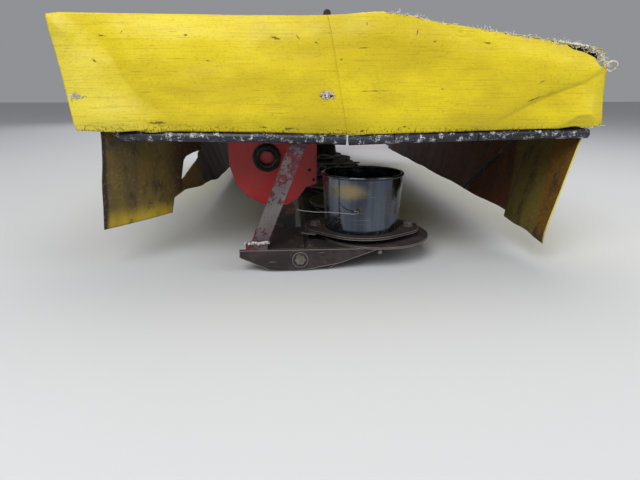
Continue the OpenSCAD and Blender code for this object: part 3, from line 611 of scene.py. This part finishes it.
def wobble(place, size, seed=0.0):
    """Smooth noise from -1 to 1 over lengths of size"""
    return noise.noise(Vector(place) / size + Vector((seed, seed * 1.7, seed * 0.3)))


def hump(t):
    """0 at t 0 and 1, and 1 halfway"""
    return math.sin(math.pi * max(0, min(1, t)))


def between(low, high, t):
    return low + (high - low) * t


def along(points, t):
    """The value at t on a line through (t, value) pairs"""
    if t <= points[0][0]:
        return points[0][1]
    for (t0, v0), (t1, v1) in zip(points, points[1:]):
        if t <= t1:
            return v0 + (v1 - v0) * (t - t0) / (t1 - t0)
    return points[-1][1]


# Cloth is laid flat first, torn there, and then hung in its place
CLOTH_THICK = 0.0018
CLOTH_WELD = 0.0006
# Corners of the cloth's cells that are nearer than this to a tear move onto its edge
TEAR_REACH = 0.0048


def inside(point, outline):
    hit = False
    for (x0, y0), (x1, y1) in zip(outline, outline[1:] + outline[:1]):
        crosses = (y0 > point[1]) != (y1 > point[1])
        if crosses and point[0] < (x1 - x0) * (point[1] - y0) / (y1 - y0) + x0:
            hit = not hit
    return hit


def nearest_on(point, outline):
    best = None
    for start, end in zip(outline, outline[1:] + outline[:1]):
        a, b = Vector(start), Vector(end)
        t = max(0, min(1, (point - a).dot(b - a) / (b - a).length_squared))
        spot = a.lerp(b, t)
        if best is None or (spot - point).length < (best - point).length:
            best = spot
    return best


def tear(bm, outline):
    gone = [face for face in bm.faces if inside(face.calc_center_median(), outline)]
    bmesh.ops.delete(bm, geom=gone, context="FACES")
    for vertex in bm.verts:
        if vertex.is_boundary:
            spot = nearest_on(vertex.co.to_2d(), outline)
            if (spot - vertex.co.to_2d()).length < TEAR_REACH:
                vertex.co = (spot.x, spot.y, 0)


def lay_cloth(name, cells, flat, place, body, slot, stands_for, finish=None, tears=()):
    """flat(u, v) gives a spot on the cloth in metres, place(a, b) where that spot hangs"""
    bm = bmesh.new()
    bmesh.ops.create_grid(bm, x_segments=cells[0], y_segments=cells[1], size=0.5)
    for vertex in bm.verts:
        vertex.co = (*flat(vertex.co.x + 0.5, vertex.co.y + 0.5), 0)
    for outline in tears:
        tear(bm, outline)
    bmesh.ops.remove_doubles(bm, verts=bm.verts, dist=CLOTH_WELD)
    for vertex in bm.verts:
        vertex.co = place(vertex.co.x, vertex.co.y)
    piece = new_piece(name, bm, body, slot, finish, stands_for)
    piece.data.shade_smooth()
    thickness = piece.modifiers.new("thickness", "SOLIDIFY")
    thickness.thickness = CLOTH_THICK
    thickness.offset = 0
    return piece


# End panel: its upper and lower edges from the rear corner to the front corner
PANEL_TOP = (
    (-0.835, 0.7025), (-0.80, 0.7068), (-0.715, 0.7063), (-0.58, 0.7045), (-0.327, 0.7038),
    (-0.198, 0.7042), (-0.12, 0.7060), (-0.08, 0.7078), (-0.028, 0.7127), (0.0115, 0.7143),
    (0.051, 0.711), (0.0915, 0.7066), (0.17, 0.6915), (0.31, 0.6705), (0.45, 0.6515),
    (0.56, 0.6365), (0.600, 0.624), (0.625, 0.612), (0.645, 0.585),
)
PANEL_LOW = (
    (-0.797, 0.4175), (-0.74, 0.4145), (-0.695, 0.4125), (-0.64, 0.4165), (-0.60, 0.4105),
    (-0.56, 0.4145), (-0.52, 0.4145), (-0.30, 0.4105), (-0.06, 0.402), (0.06, 0.405),
    (0.30, 0.412), (0.53, 0.417), (0.575, 0.424), (0.61, 0.4185), (0.657, 0.426),
)
# The rear cloth ends here at its top and its hem, and the front one laps under it
SEAM_TOP = -0.123
SEAM_LOW = -0.067
SEAM_LAP = 0.004
SEAM_STEP = 0.002
SMALL_TEAR = ((-0.795, 0.504), (-0.785, 0.507), (-0.768, 0.506), (-0.778, 0.499))
HINGE_TEAR = ((-0.152, 0.506), (-0.132, 0.5105), (-0.112, 0.508), (-0.112, 0.501), (-0.135, 0.499))
CORNER_TEAR = (
    (0.520, 0.640), (0.560, 0.632), (0.600, 0.628), (0.630, 0.603), (0.638, 0.577),
    (0.620, 0.582), (0.605, 0.605), (0.575, 0.619), (0.545, 0.626),
)
# The top edge is ragged from here to the front corner
RAGGED_FROM = -0.03
RAGGED_BY = 0.0022

# Fold lines: (x, z, how far the fold stands in there) and how wide it is to its right and left
FOLDS = (
    (((-0.800, 0.705, 0), (-0.751, 0.677, -0.026), (-0.720, 0.649, -0.030),
      (-0.688, 0.607, -0.026), (-0.658, 0.5455, -0.020), (-0.624, 0.503, -0.013),
      (-0.582, 0.477, -0.008), (-0.500, 0.410, 0)), 0.13, 0.045),
    (((0.330, 0.425, 0), (0.376, 0.4485, -0.006), (0.4435, 0.4836, -0.010),
      (0.514, 0.5158, -0.012), (0.580, 0.537, -0.011), (0.6325, 0.5688, -0.008)), 0.075, 0.010),
    (((0.495, 0.4185, 0), (0.539, 0.4287, 0.008), (0.569, 0.454, 0.015), (0.602, 0.4561, 0.014),
      (0.640, 0.438, 0.006)), 0.014, 0.055),
    (((0.093, 0.700, 0.003), (0.108, 0.405, 0.003)), 0.008, 0.008),
    (((-0.030, 0.700, 0.006), (0.170, 0.560, 0.002)), 0.05, 0.05),
    (((0.180, 0.690, -0.006), (0.420, 0.560, -0.002)), 0.04, 0.04),
)
# Height of each wave in the cloth, its length, how much shorter it is upwards, and its seed
PANEL_WAVES = ((0.009, 0.30, 1, 3), (0.0045, 0.11, 1.4, 7), (0.0012, 0.035, 1, 5))
# Waves of the hem, below the given height
HEM_HEIGHT = 0.435
HEM_DEPTH = 0.03
HEM_WAVE = 0.003
# The cloth bellies out this far at this distance from its edges
BELLY = 0.024
BELLY_REACH = 0.07
PANEL_REAR = 0.84
PANEL_FRONT = 0.66
PANEL_FOOT = 0.395
# It keeps at least this far out from the panel's plane, eased over the same length
PANEL_STAND = 0.003


def beside_fold(a, b, points):
    """How far (a, b) lies from a fold line, above 0 on its right, and how far the fold stands"""
    near = None
    for (a0, b0, stand0), (a1, b1, stand1) in zip(points, points[1:]):
        run, rise = a1 - a0, b1 - b0
        t = max(0, min(1, ((a - a0) * run + (b - b0) * rise) / (run * run + rise * rise)))
        away = math.hypot(a - a0 - t * run, b - b0 - t * rise)
        if near is None or away < abs(near[0]):
            side = (a - a0) * rise - (b - b0) * run
            near = math.copysign(away, side), between(stand0, stand1, t)
    return near


def panel_flat(x_top, x_low, v):
    z = between(along(PANEL_LOW, x_low), along(PANEL_TOP, x_top), v)
    if v > 0.999 and x_top > RAGGED_FROM:
        z += RAGGED_BY * wobble((x_top, 0, 0), 0.012, 4)
    return between(x_low, x_top, v), z


def panel_depth(x, z):
    """How far the cloth hangs behind the end plane: below 0, so always in front of it"""
    depth = sum(height * wobble((x, 0, z * squeeze), length, seed)
                for height, length, squeeze, seed in PANEL_WAVES)
    for points, right_width, left_width in FOLDS:
        away, stand = beside_fold(x, z, points)
        depth -= stand * math.exp(-abs(away) / (right_width if away > 0 else left_width))
    if z < HEM_HEIGHT:
        depth += HEM_WAVE * wobble((x, 0, 0), 0.05, 9) * (HEM_HEIGHT - z) / HEM_DEPTH
    from_edge = min(along(PANEL_TOP, x) - z, x + PANEL_REAR, z - PANEL_FOOT, PANEL_FRONT - x)
    depth -= BELLY * hump(min(1, from_edge / BELLY_REACH) / 2)
    return -PANEL_STAND - PANEL_STAND * math.log1p(math.exp(-depth / PANEL_STAND))


def end_panels():
    """Two cloths that meet at the guard's hinge line: the rear one rides the mower"""
    def rear_flat(u, v):
        return panel_flat(between(PANEL_TOP[0][0], SEAM_TOP, u),
                          between(PANEL_LOW[0][0], SEAM_LOW, u), v)

    def front_flat(u, v):
        return panel_flat(between(SEAM_TOP - SEAM_LAP, PANEL_TOP[-1][0], u),
                          between(SEAM_LOW - SEAM_LAP, PANEL_LOW[-1][0], u), v)

    rear = lay_cloth("rear_end_cloth", (175, 72), rear_flat,
                     lambda x, z: at(x, panel_depth(x, z), z),
                     "mower", "sheet", ["rear_end_sheet"], PANEL, (SMALL_TEAR, HINGE_TEAR))
    front = lay_cloth("front_end_cloth", (190, 72), front_flat,
                      lambda x, z: at(x, panel_depth(x, z) - SEAM_STEP, z),
                      "guard", "sheet", ["front_end_sheet"], PANEL, (CORNER_TEAR,))


# Top cloths sag a little between the frame's ribs
RIBS = (0.029, 1.232, 2.375)
INNER_END = 2.42
TOP_ALONG = (-0.001, INNER_END)
TOP_HEIGHT = 0.7025
REAR_TOP = (-0.831, -0.159)
REAR_SAG = 0.014
FRONT_TOP = (-0.092, 0.638)
FRONT_SAG = 0.012
FRONT_SLOPE = ((-0.092, 0.7025), (0.076, 0.7025), (0.590, 0.634), (0.640, 0.624))
FRONT_LIFT = 0.002
TOP_WAVE = 0.0015


def rib_sag(y, depth):
    for low, high in zip(RIBS, RIBS[1:]):
        if low < y < high:
            return depth * hump((y - low) / (high - low)) ** 0.8
    return 0.0


def top_cloths():
    def rear_place(x, y):
        sag = rib_sag(y, REAR_SAG) * hump((x + 0.80) / 0.63)
        return at(x, y, TOP_HEIGHT - sag + TOP_WAVE * wobble((x, y, 0), 0.12, 2))

    def front_place(x, y):
        sag = rib_sag(y, FRONT_SAG) * hump((x + 0.10) / 0.70)
        return at(x, y, along(FRONT_SLOPE, x) + FRONT_LIFT - sag
                  + TOP_WAVE * wobble((x, y, 0), 0.12, 6))

    rear = lay_cloth("rear_top_cloth", (56, 180),
                     lambda u, v: (between(*REAR_TOP, u), between(*TOP_ALONG, v)),
                     rear_place, "mower", "sheet", ["rear_top_sheet"])
    front = lay_cloth("front_top_cloth", (62, 180),
                      lambda u, v: (between(*FRONT_TOP, u), between(*TOP_ALONG, v)),
                      front_place, "guard", "sheet", ["front_top_sheet"])


# Curtains: (height, how far from the disc line they hang there), and (y, height of the hem)
FRONT_HANG = ((0.068, 0.5475), (0.100, 0.550), (0.396, 0.623), (0.576, 0.634), (0.620, 0.634))
FRONT_START = 0.25
FRONT_HEAD = 0.620
FRONT_HEM = 0.104
# Below this height the cloth is free to swing
HELD_ABOVE = 0.58
FREE_LENGTH = 0.48
# The strip at the outer end hangs lower and in front of the curtain, bowed a little
NEAR_STRIP = 0.28
STRIP_START = 0.008
STRIP_HEAD = 0.600
STRIP_HEM = 0.068
STRIP_GAP = 0.0035
STRIP_BOW = 0.012
REAR_HANG = ((0.025, -0.617), (0.655, -0.823), (0.702, -0.8235))
REAR_HEM = ((0.20, 0.160), (0.60, 0.135), (1.30, 0.065), (2.42, 0.027))
REAR_START = 0.20
REAR_HEAD = 0.702
REAR_TEAR = ((0.19, 0.60), (0.19, 0.15), (0.40, 0.160), (0.486, 0.1745), (0.76, 0.190),
             (1.043, 0.2155), (1.075, 0.230), (1.139, 0.239), (1.12, 0.32), (0.60, 0.50))
# The corner flap runs inwards and forwards from its rear edge; its lower half is torn off
FLAP_LEFT = ((0.136, -0.767), (0.277, -0.755), (0.386, -0.743), (0.658, -0.735))
FLAP_START_Y = 0.008
FLAP_WAY = Vector((145, 185)).normalized()
FLAP_WIDE = 0.36
FLAP_HEAD = 0.658
FLAP_HEM = 0.136
FLAP_TEAR = ((0.232, 0.10), (0.2355, 0.139), (0.241, 0.170), (0.2457, 0.197), (0.262, 0.205),
             (0.280, 0.208), (0.276, 0.250), (0.2816, 0.306), (0.2916, 0.3175), (0.320, 0.326),
             (0.370, 0.333), (0.370, 0.10))


def freedom(z):
    """How free the cloth is to swing at a height: 0 where it is held, about 1 at its hem"""
    return max(0, (HELD_ABOVE - z) / FREE_LENGTH)


def curtains():
    def swing_out(y, z, seed):
        """Waves that grow towards the free hem"""
        return freedom(z) * (0.010 * wobble((y, 0, z * 0.3), 0.28, seed)
                             + 0.004 * wobble((y, 0, z * 0.4), 0.09, seed + 3))

    def front_flat(u, v):
        hem = FRONT_HEM + 0.006 * wobble((u, 0, 0), 0.1, 5)
        return between(FRONT_START, INNER_END, u), between(hem, FRONT_HEAD, v)

    def front_place(y, z):
        return at(along(FRONT_HANG, z) + abs(swing_out(y, z, 2)), y, z)

    far = lay_cloth("front_curtain_cloth", (190, 48), front_flat, front_place,
                    "guard", "curtain", ["front_curtain"], FRONT_CURTAIN)

    def strip_flat(u, v):
        hem = STRIP_HEM + 0.018 * min(1, u * 3) + 0.003 * wobble((u, 0, 0), 0.15, 8)
        return STRIP_START + NEAR_STRIP * u, between(hem, STRIP_HEAD, v)

    def strip_place(y, z):
        bow = STRIP_BOW * hump((y - 0.02) / NEAR_STRIP)
        return at(along(FRONT_HANG, z) - STRIP_GAP - bow * freedom(z), y, z)

    near = lay_cloth("front_curtain_strip", (36, 60), strip_flat, strip_place,
                     "guard", "curtain", [], FRONT_CURTAIN)

    def rear_flat(u, v):
        y = between(REAR_START, INNER_END, u)
        hem = along(REAR_HEM, y) + 0.006 * wobble((u, 0, 0), 0.12, 3)
        return y, between(hem, REAR_HEAD, v)

    def rear_place(y, z):
        return at(along(REAR_HANG, z) + swing_out(y, z, 11), y, z)

    rear = lay_cloth("rear_curtain_cloth", (260, 70), rear_flat, rear_place,
                     "mower", "curtain", ["rear_curtain"], None, (REAR_TEAR,))

    def flap_flat(u, v):
        return FLAP_WIDE * u, between(FLAP_HEM + 0.010 * u, FLAP_HEAD, v)

    def flap_place(s, z):
        bow = 0.012 * math.sin(math.pi * s / FLAP_WIDE) * (0.66 - z) / 0.5
        out = bow + 0.003 * wobble((s, 0, z), 0.08, 6)
        run = s + 0.003 * wobble((0, 0, z), 0.08, 2)
        return at(along(FLAP_LEFT, z) + FLAP_WAY.x * run + FLAP_WAY.y * out,
                  FLAP_START_Y + FLAP_WAY.y * run - FLAP_WAY.x * out, z)

    flap = lay_cloth("corner_flap_cloth", (72, 100), flap_flat, flap_place,
                     "mower", "curtain", ["rear_corner_flap"], FLAP, (FLAP_TEAR,))


# Torn corner: the rope that was sewn into the edge hangs out in a loop, with loose threads
ROPE = ((0.500, 0.646), (0.545, 0.640), (0.590, 0.634), (0.620, 0.619), (0.636, 0.598),
        (0.643, 0.583), (0.650, 0.590))
ROPE_TAIL = ((0.652, 0.574), (0.640, 0.570), (0.628, 0.566))
ROPE_OUT = -0.008
ROPE_RADIUS = 0.0026
THREAD_RADIUS = 0.0007
TEAR_THREAD_RADIUS = 0.0008
EDGE_THREADS = 240
HEM_THREADS = 10
HINGE_TEAR_THREADS = 34
SMALL_TEAR_THREADS = 16


def torn_corner():
    rope = [at(x, ROPE_OUT + 0.002 * wobble((x, 0, z), 0.02), z + 0.002 * wobble((x, z, 0), 0.015))
            for x, z in spaced(ROPE, 30)]
    turns = [math.tau * i / 20 for i in range(19)]
    loop = [at(0.662 - 0.015 * math.cos(t), ROPE_OUT - 0.003 * math.sin(t),
               0.584 + 0.013 * math.sin(t)) for t in turns]
    tail = [at(x, ROPE_OUT, z) for x, z in spaced(ROPE_TAIL, 8)]
    wires("edge_rope", [rope, loop + tail], ROPE_RADIUS, "guard", "sheet", THREAD, 0.25)
    guard_threads = [thread_from(place) for place in thread_places() if place[0] > SEAM_TOP]
    wires("loose_threads", guard_threads, THREAD_RADIUS, "guard", "sheet", THREAD)
    tear_threads = [
        thread_from((random.uniform(low, high), random.choice(edges)))
        for low, high, edges, count in (
            (-0.150, -0.114, (0.5005, 0.5095), HINGE_TEAR_THREADS),
            (-0.797, -0.766, (0.501, 0.507), SMALL_TEAR_THREADS))
        for _ in range(count)]
    wires("tear_threads", tear_threads, TEAR_THREAD_RADIUS, "mower", "sheet", THREAD)


def spaced(corners, count):
    """Points spread evenly along a line through the corners"""
    lengths = [0.0]
    for (x0, z0), (x1, z1) in zip(corners, corners[1:]):
        lengths.append(lengths[-1] + math.hypot(x1 - x0, z1 - z0))
    xs, zs = (list(zip(lengths, values)) for values in zip(*corners))
    stops = [lengths[-1] * i / (count - 1) for i in range(count)]
    return [(along(xs, stop), along(zs, stop)) for stop in stops]


def thread_places():
    """More threads towards the torn corner, and a few at the hem's front end"""
    places = []
    for _ in range(EDGE_THREADS):
        x = 0.645 - 0.62 * random.random() ** 3.2
        places.append((x, along(PANEL_TOP, x) - 0.001))
    for _ in range(HEM_THREADS):
        places.append((random.uniform(0.590, 0.655), 0.421))
    return places


def thread_from(place):
    x, z = place
    turn = random.uniform(-0.3, math.pi + 0.3)
    line = [at(x, panel_depth(x, z) - 0.003, z)]
    for _ in range(random.randint(3, 6)):
        turn += random.uniform(-0.9, 0.9)
        out = random.uniform(-0.001, 0.0006)
        line.append(line[-1] + Vector((math.cos(turn) * 0.0032, out, math.sin(turn) * 0.0026)))
    return line


# Fasteners and small turned parts
ALONG = (1, 0, 0)
OUTWARDS = (0, -1, 0)
INWARDS = (0, 1, 0)
UP = (0, 0, 1)


def add_part(bm, part, place, axis):
    """Stands a part that was made upright on the origin on its place, along axis"""
    turn = Vector(UP).rotation_difference(Vector(axis)).to_matrix().to_4x4()
    bmesh.ops.transform(part, matrix=Matrix.Translation(place) @ turn, verts=part.verts)
    bmesh.ops.recalc_face_normals(part, faces=part.faces)
    spare = bpy.data.meshes.new("spare")
    part.to_mesh(spare)
    part.free()
    bm.from_mesh(spare)
    bpy.data.meshes.remove(spare)


def lathe(bm, profile, place, axis, steps=40):
    """Spins (radius, height) points round an axis. One that starts on the axis stays open"""
    part = bmesh.new()
    rim = [part.verts.new((radius, 0, height)) for radius, height in profile]
    ends = rim[1:] if profile[0][0] == 0 else rim[1:] + rim[:1]
    edges = [part.edges.new(pair) for pair in zip(rim, ends)]
    bmesh.ops.spin(part, geom=rim + edges, cent=(0, 0, 0), axis=UP, angle=math.tau, steps=steps,
                   use_merge=True)
    bmesh.ops.remove_doubles(part, verts=part.verts, dist=0.00001)
    add_part(bm, part, place, axis)


def prism(corners, radius, low, high):
    part = bmesh.new()
    bmesh.ops.create_cone(part, cap_ends=True, segments=corners, radius1=radius, radius2=radius,
                          depth=high - low, matrix=Matrix.Translation((0, 0, (low + high) / 2)))
    return part


def ease(part, edges, width):
    bmesh.ops.bevel(part, geom=edges, offset=width, affect="EDGES", segments=2, profile=0.5,
                    material=-1)


def bolt(bm, place, axis, size):
    """Washer and hexagon with eased corners. size is the thread's diameter"""
    bore, wide, thin = size * 0.3, size * 1.08, size * 0.18
    lathe(bm, ((bore, 0), (wide, 0), (wide, thin), (bore, thin)), place, axis, 24)
    head = prism(6, size * 0.92, thin, thin + size * 0.62)
    ease(head, [e for e in head.edges if min(v.co.z for v in e.verts) > size * 0.6], size * 0.09)
    add_part(bm, head, place, axis)


def bolts(name, body, rows):
    """rows are (place, axis, size)"""
    bm = bmesh.new()
    for place, axis, size in rows:
        bolt(bm, place, axis, size)
    new_piece(name, bm, body, "steel", BOLT_STEEL)


def ring_of(x, y, z, radius, count, first, across=ALONG, up=INWARDS):
    """Places spread round a circle, the first one at first degrees"""
    turns = [math.radians(first + 360 * i / count) for i in range(count)]
    return [at(x, y, z) + Vector(across) * radius * math.cos(t) + Vector(up) * radius * math.sin(t)
            for t in turns]


DISCS = 6
DISC_PITCH = 0.4
FIRST_DISC = 0.15
KNIFE_PIVOT = 0.15
KNIFE_NUT = 0.017
DISC_FACE = 0.098
HUB_BOLT = 0.008
HUB_BOLT_RING = 0.046
BOSS_TOP = 0.122
ODD_TURN = -6
EVEN_TURN = -84


def disc_bolts():
    """Knife nuts on every disc, and four bolts in the hub of those without a drum"""
    for number in range(1, DISCS + 1):
        y = FIRST_DISC + DISC_PITCH * (number - 1)
        turn = ODD_TURN if number % 2 else EVEN_TURN
        rows = [(place, UP, KNIFE_NUT) for place in ring_of(0, y, DISC_FACE, KNIFE_PIVOT, 2, turn)]
        if 1 < number < DISCS:
            rows += [(place, UP, HUB_BOLT)
                     for place in ring_of(0, y, BOSS_TOP, HUB_BOLT_RING, 4, turn + 45)]
        bolts(f"disc_{number}_bolts", f"disc{number}", rows)


def shoe_bolts():
    bolts("shoe_bolts", "mower", [(at(0.035, -0.001, 0.0545), OUTWARDS, 0.006),
                                  (at(-0.205, -0.010, 0.036), OUTWARDS, 0.011)])


PLATE_EASE = 0.0012
# (x, z) corners, and the sides' distances inwards from the outer end
SHOE_FLANGE = ((-0.352, 0.0580), (-0.192, 0.0580), (-0.192, 0.0662), (-0.352, 0.0662))
SHOE_FLANGE_SIDES = (0.0135, 0.2430)
GUSSET = ((-0.312, 0.0660), (-0.214, 0.0660), (-0.214, 0.1400), (-0.228, 0.1720),
          (-0.290, 0.1720), (-0.312, 0.1100))
GUSSET_SIDES = (0.2382, 0.2434)


def cut_plate(name, outline, sides, slot, finish=None):
    """A flat plate across the bar, with its edges eased"""
    part = bmesh.new()
    face = part.faces.new([part.verts.new(at(x, sides[0], z)) for x, z in outline])
    grown = bmesh.ops.extrude_face_region(part, geom=[face])["geom"]
    corners = [item for item in grown if isinstance(item, bmesh.types.BMVert)]
    bmesh.ops.translate(part, verts=corners, vec=(0, sides[1] - sides[0], 0))
    ease(part, part.edges[:], PLATE_EASE)
    bmesh.ops.recalc_face_normals(part, faces=part.faces)
    new_piece(name, part, "mower", slot, finish)


def shoe_plates():
    """The shoe's level flange, and the black gusset between it and the carrier's end plate: dark
    plates that stand for the deep shade in these gaps
    """
    # Painted shade: both dark plates close gaps under the cover that lie in deep shade
    cut_plate("shoe_flange", SHOE_FLANGE, SHOE_FLANGE_SIDES, "shoe", FINISHES["bar"])
    cut_plate("carrier_gusset", GUSSET, GUSSET_SIDES, "black_paint")


CARRIER_X = -0.305
CARRIER_Z = 0.310
HUB_FACE = 0.224
HUB_PROFILE = ((0.022, 0), (0.043, 0), (0.043, 0.004), (0.040, 0.009), (0.035, 0.009),
               (0.033, 0.005), (0.029, 0.005), (0.028, 0.008), (0.024, 0.008), (0.022, 0.006))
BOSS_WELD_Y = 0.2375
BOSS_WELD_RING = 0.0435


def carrier_hub():
    """Dark bearing ring on the carrier's boss, with a bright lip round its bore"""
    bm = bmesh.new()
    lathe(bm, HUB_PROFILE, at(CARRIER_X, HUB_FACE, CARRIER_Z), OUTWARDS)
    new_piece("carrier_hub_ring", bm, "mower", "steel", HUB_STEEL).data.shade_smooth()


def weld_beads():
    """Uneven beads where the strut stands on its foot and round the carrier's boss"""
    foot = [at(-0.368 + 0.0013 * i, -0.0005 - 0.001 * (i % 3),
               0.0900 + 0.0035 * wobble((i, 0, 0), 7, 1)) for i in range(56)]
    wires("strut_foot_weld", [foot], 0.0042, "mower", "strut", WELD_STEEL, 0.45)
    boss = ring_of(CARRIER_X, BOSS_WELD_Y, CARRIER_Z, BOSS_WELD_RING, 60, 0, ALONG, UP)
    wires("carrier_boss_weld", [boss + boss[:1]], 0.0035, "mower", "black_paint", None, 0.25)


WIRE = ((-0.212, 0.045, 0.178), (-0.188, 0.042, 0.1747), (-0.155, 0.040, 0.1714),
        (-0.114, 0.036, 0.1709), (-0.069, 0.027, 0.1689), (-0.042, 0.023, 0.1669),
        (-0.031, 0.020, 0.169), (-0.029, 0.020, 0.174), (-0.034, 0.020, 0.177),
        (-0.041, 0.021, 0.175))
WIRE_RADIUS = 0.0014


def caught_wire():
    """The bent wire that is caught on the outer drum"""
    wires("caught_wire", [[at(*point) for point in WIRE]], WIRE_RADIUS, "disc1", "steel",
          BOLT_STEEL)


# Drive shaft: plain from its start to where it leaves the guard, then splined to its end
SHAFT_Y = 3.1
SHAFT_Z = 0.44
SHAFT_START = 0.010
SPLINE_START = 0.260
SHAFT_END = 0.360
SPLINE_TIP = 0.01745
SPLINE_ROOT = 0.0147
GROOVE_RADIUS = 0.0150
GROOVE_START = SHAFT_END - 0.045
GROOVE_END = SHAFT_END - 0.033
# The shaft's rim has 96 corners, so 16 of them to a spline; these of the 16 lie in its groove
RIM_STEPS = 96
SPLINE_STEPS = 16
GROOVE_STEPS = (6, 7, 8, 9, 10)


def driveline():
    """Drive shaft with six splines and the groove that locks the tractor's shaft on it"""
    bm = bmesh.new()
    plain = SPLINE_START - SHAFT_START
    lathe(bm, ((0, 0), (0.0185, 0), (0.020, 0.0015), (0.020, plain), (0.0165, plain + 0.003),
               (0.0145, plain + 0.003), (0, plain + 0.003)),
          at(SHAFT_START, SHAFT_Y, SHAFT_Z), ALONG)
    for low, high, radius in ((SPLINE_START, GROOVE_START, SPLINE_TIP),
                              (GROOVE_START, GROOVE_END, GROOVE_RADIUS),
                              (GROOVE_END, SHAFT_END, SPLINE_TIP)):
        part = prism(RIM_STEPS, radius, 0, high - low)
        for vertex in part.verts:
            turn = math.degrees(math.atan2(vertex.co.y, vertex.co.x))
            if round(turn * RIM_STEPS / 360) % SPLINE_STEPS in GROOVE_STEPS:
                vertex.co.xy *= SPLINE_ROOT / radius
        add_part(bm, part, at(low, SHAFT_Y, SHAFT_Z), ALONG)
    new_piece("drive_shaft_splined", bm, "drive", "steel", None, ["drive_shaft"])


HITCH_X = 1.0
HITCH_Z = 0.45
LINCH_PIN = ((0, -0.036), (0.004, -0.034), (0.0055, -0.030), (0.0055, 0.020), (0.009, 0.020),
             (0.009, 0.032), (0.007, 0.034), (0, 0.034))


def linch_pins():
    """A linch pin with its spring ring through each lower hitch pin"""
    for name, y in (("linch_pin_outer", 2.8815), ("linch_pin_inner", 3.9185)):
        bm = bmesh.new()
        lathe(bm, LINCH_PIN, at(HITCH_X, y, HITCH_Z), UP, 20)
        new_piece(name, bm, "headstock", "steel", BOLT_STEEL)
        loop = [at(HITCH_X + 0.024 * math.sin(t), y,
                   HITCH_Z + 0.026 + 0.027 * (math.cos(t) - 1))
                for t in (math.tau * i / 32 for i in range(33))]
        wires(name + "_ring", [loop], 0.0016, "headstock", "steel", BOLT_STEEL)


CYLINDER_X = -0.110
CYLINDER_Z = 0.580
GLAND_Y = 2.8085
PORTS_Y = (2.856, 3.130)
GLAND = ((0.0175, 0), (0.033, 0), (0.036, 0.003), (0.036, 0.026), (0.0345, 0.028),
         (0.0345, 0.030), (0.030, 0.030), (0.0175, 0.002))
PORT = ((0, 0.030), (0.014, 0.030), (0.014, 0.046), (0.012, 0.048), (0.0105, 0.048),
        (0.0105, 0.060), (0, 0.060))
BELT_GUARD_FACE = 0.240
# Centre y and z of each end of the belt guard, its bolts' radius and where they start
BELT_GUARD_ENDS = ((2.62, 0.42, 0.134, 60), (3.1, 0.44, 0.114, -120))


def hitch_fasteners():
    """Nut on the swing post, flange bolts of the belt guard, the lift cylinder's fittings"""
    bolts("swing_post_nut", "headstock", [(at(0.8, 3.4, 0.550), UP, 0.026)])
    rows = [(place, ALONG, 0.008) for y, z, radius, first in BELT_GUARD_ENDS
            for place in ring_of(BELT_GUARD_FACE, y, z, radius, 6, first, INWARDS, UP)]
    bolts("belt_guard_bolts", "swing", rows)
    bm = bmesh.new()
    lathe(bm, GLAND, at(CYLINDER_X, GLAND_Y, CYLINDER_Z), INWARDS)
    for y in PORTS_Y:
        lathe(bm, PORT, at(CYLINDER_X, y, CYLINDER_Z), UP, 24)
    new_piece("lift_cylinder_fittings", bm, "barrel", "steel", BOLT_STEEL).data.shade_smooth()


for build in (make_camera, make_stage, make_lights, dress_nodes, end_panels, top_cloths, curtains,
              torn_corner, disc_bolts, shoe_bolts, shoe_plates, carrier_hub, weld_beads,
              caught_wire, driveline, linch_pins, hitch_fasteners):
    build()

bpy.context.scene.view_settings.view_transform = "Standard"
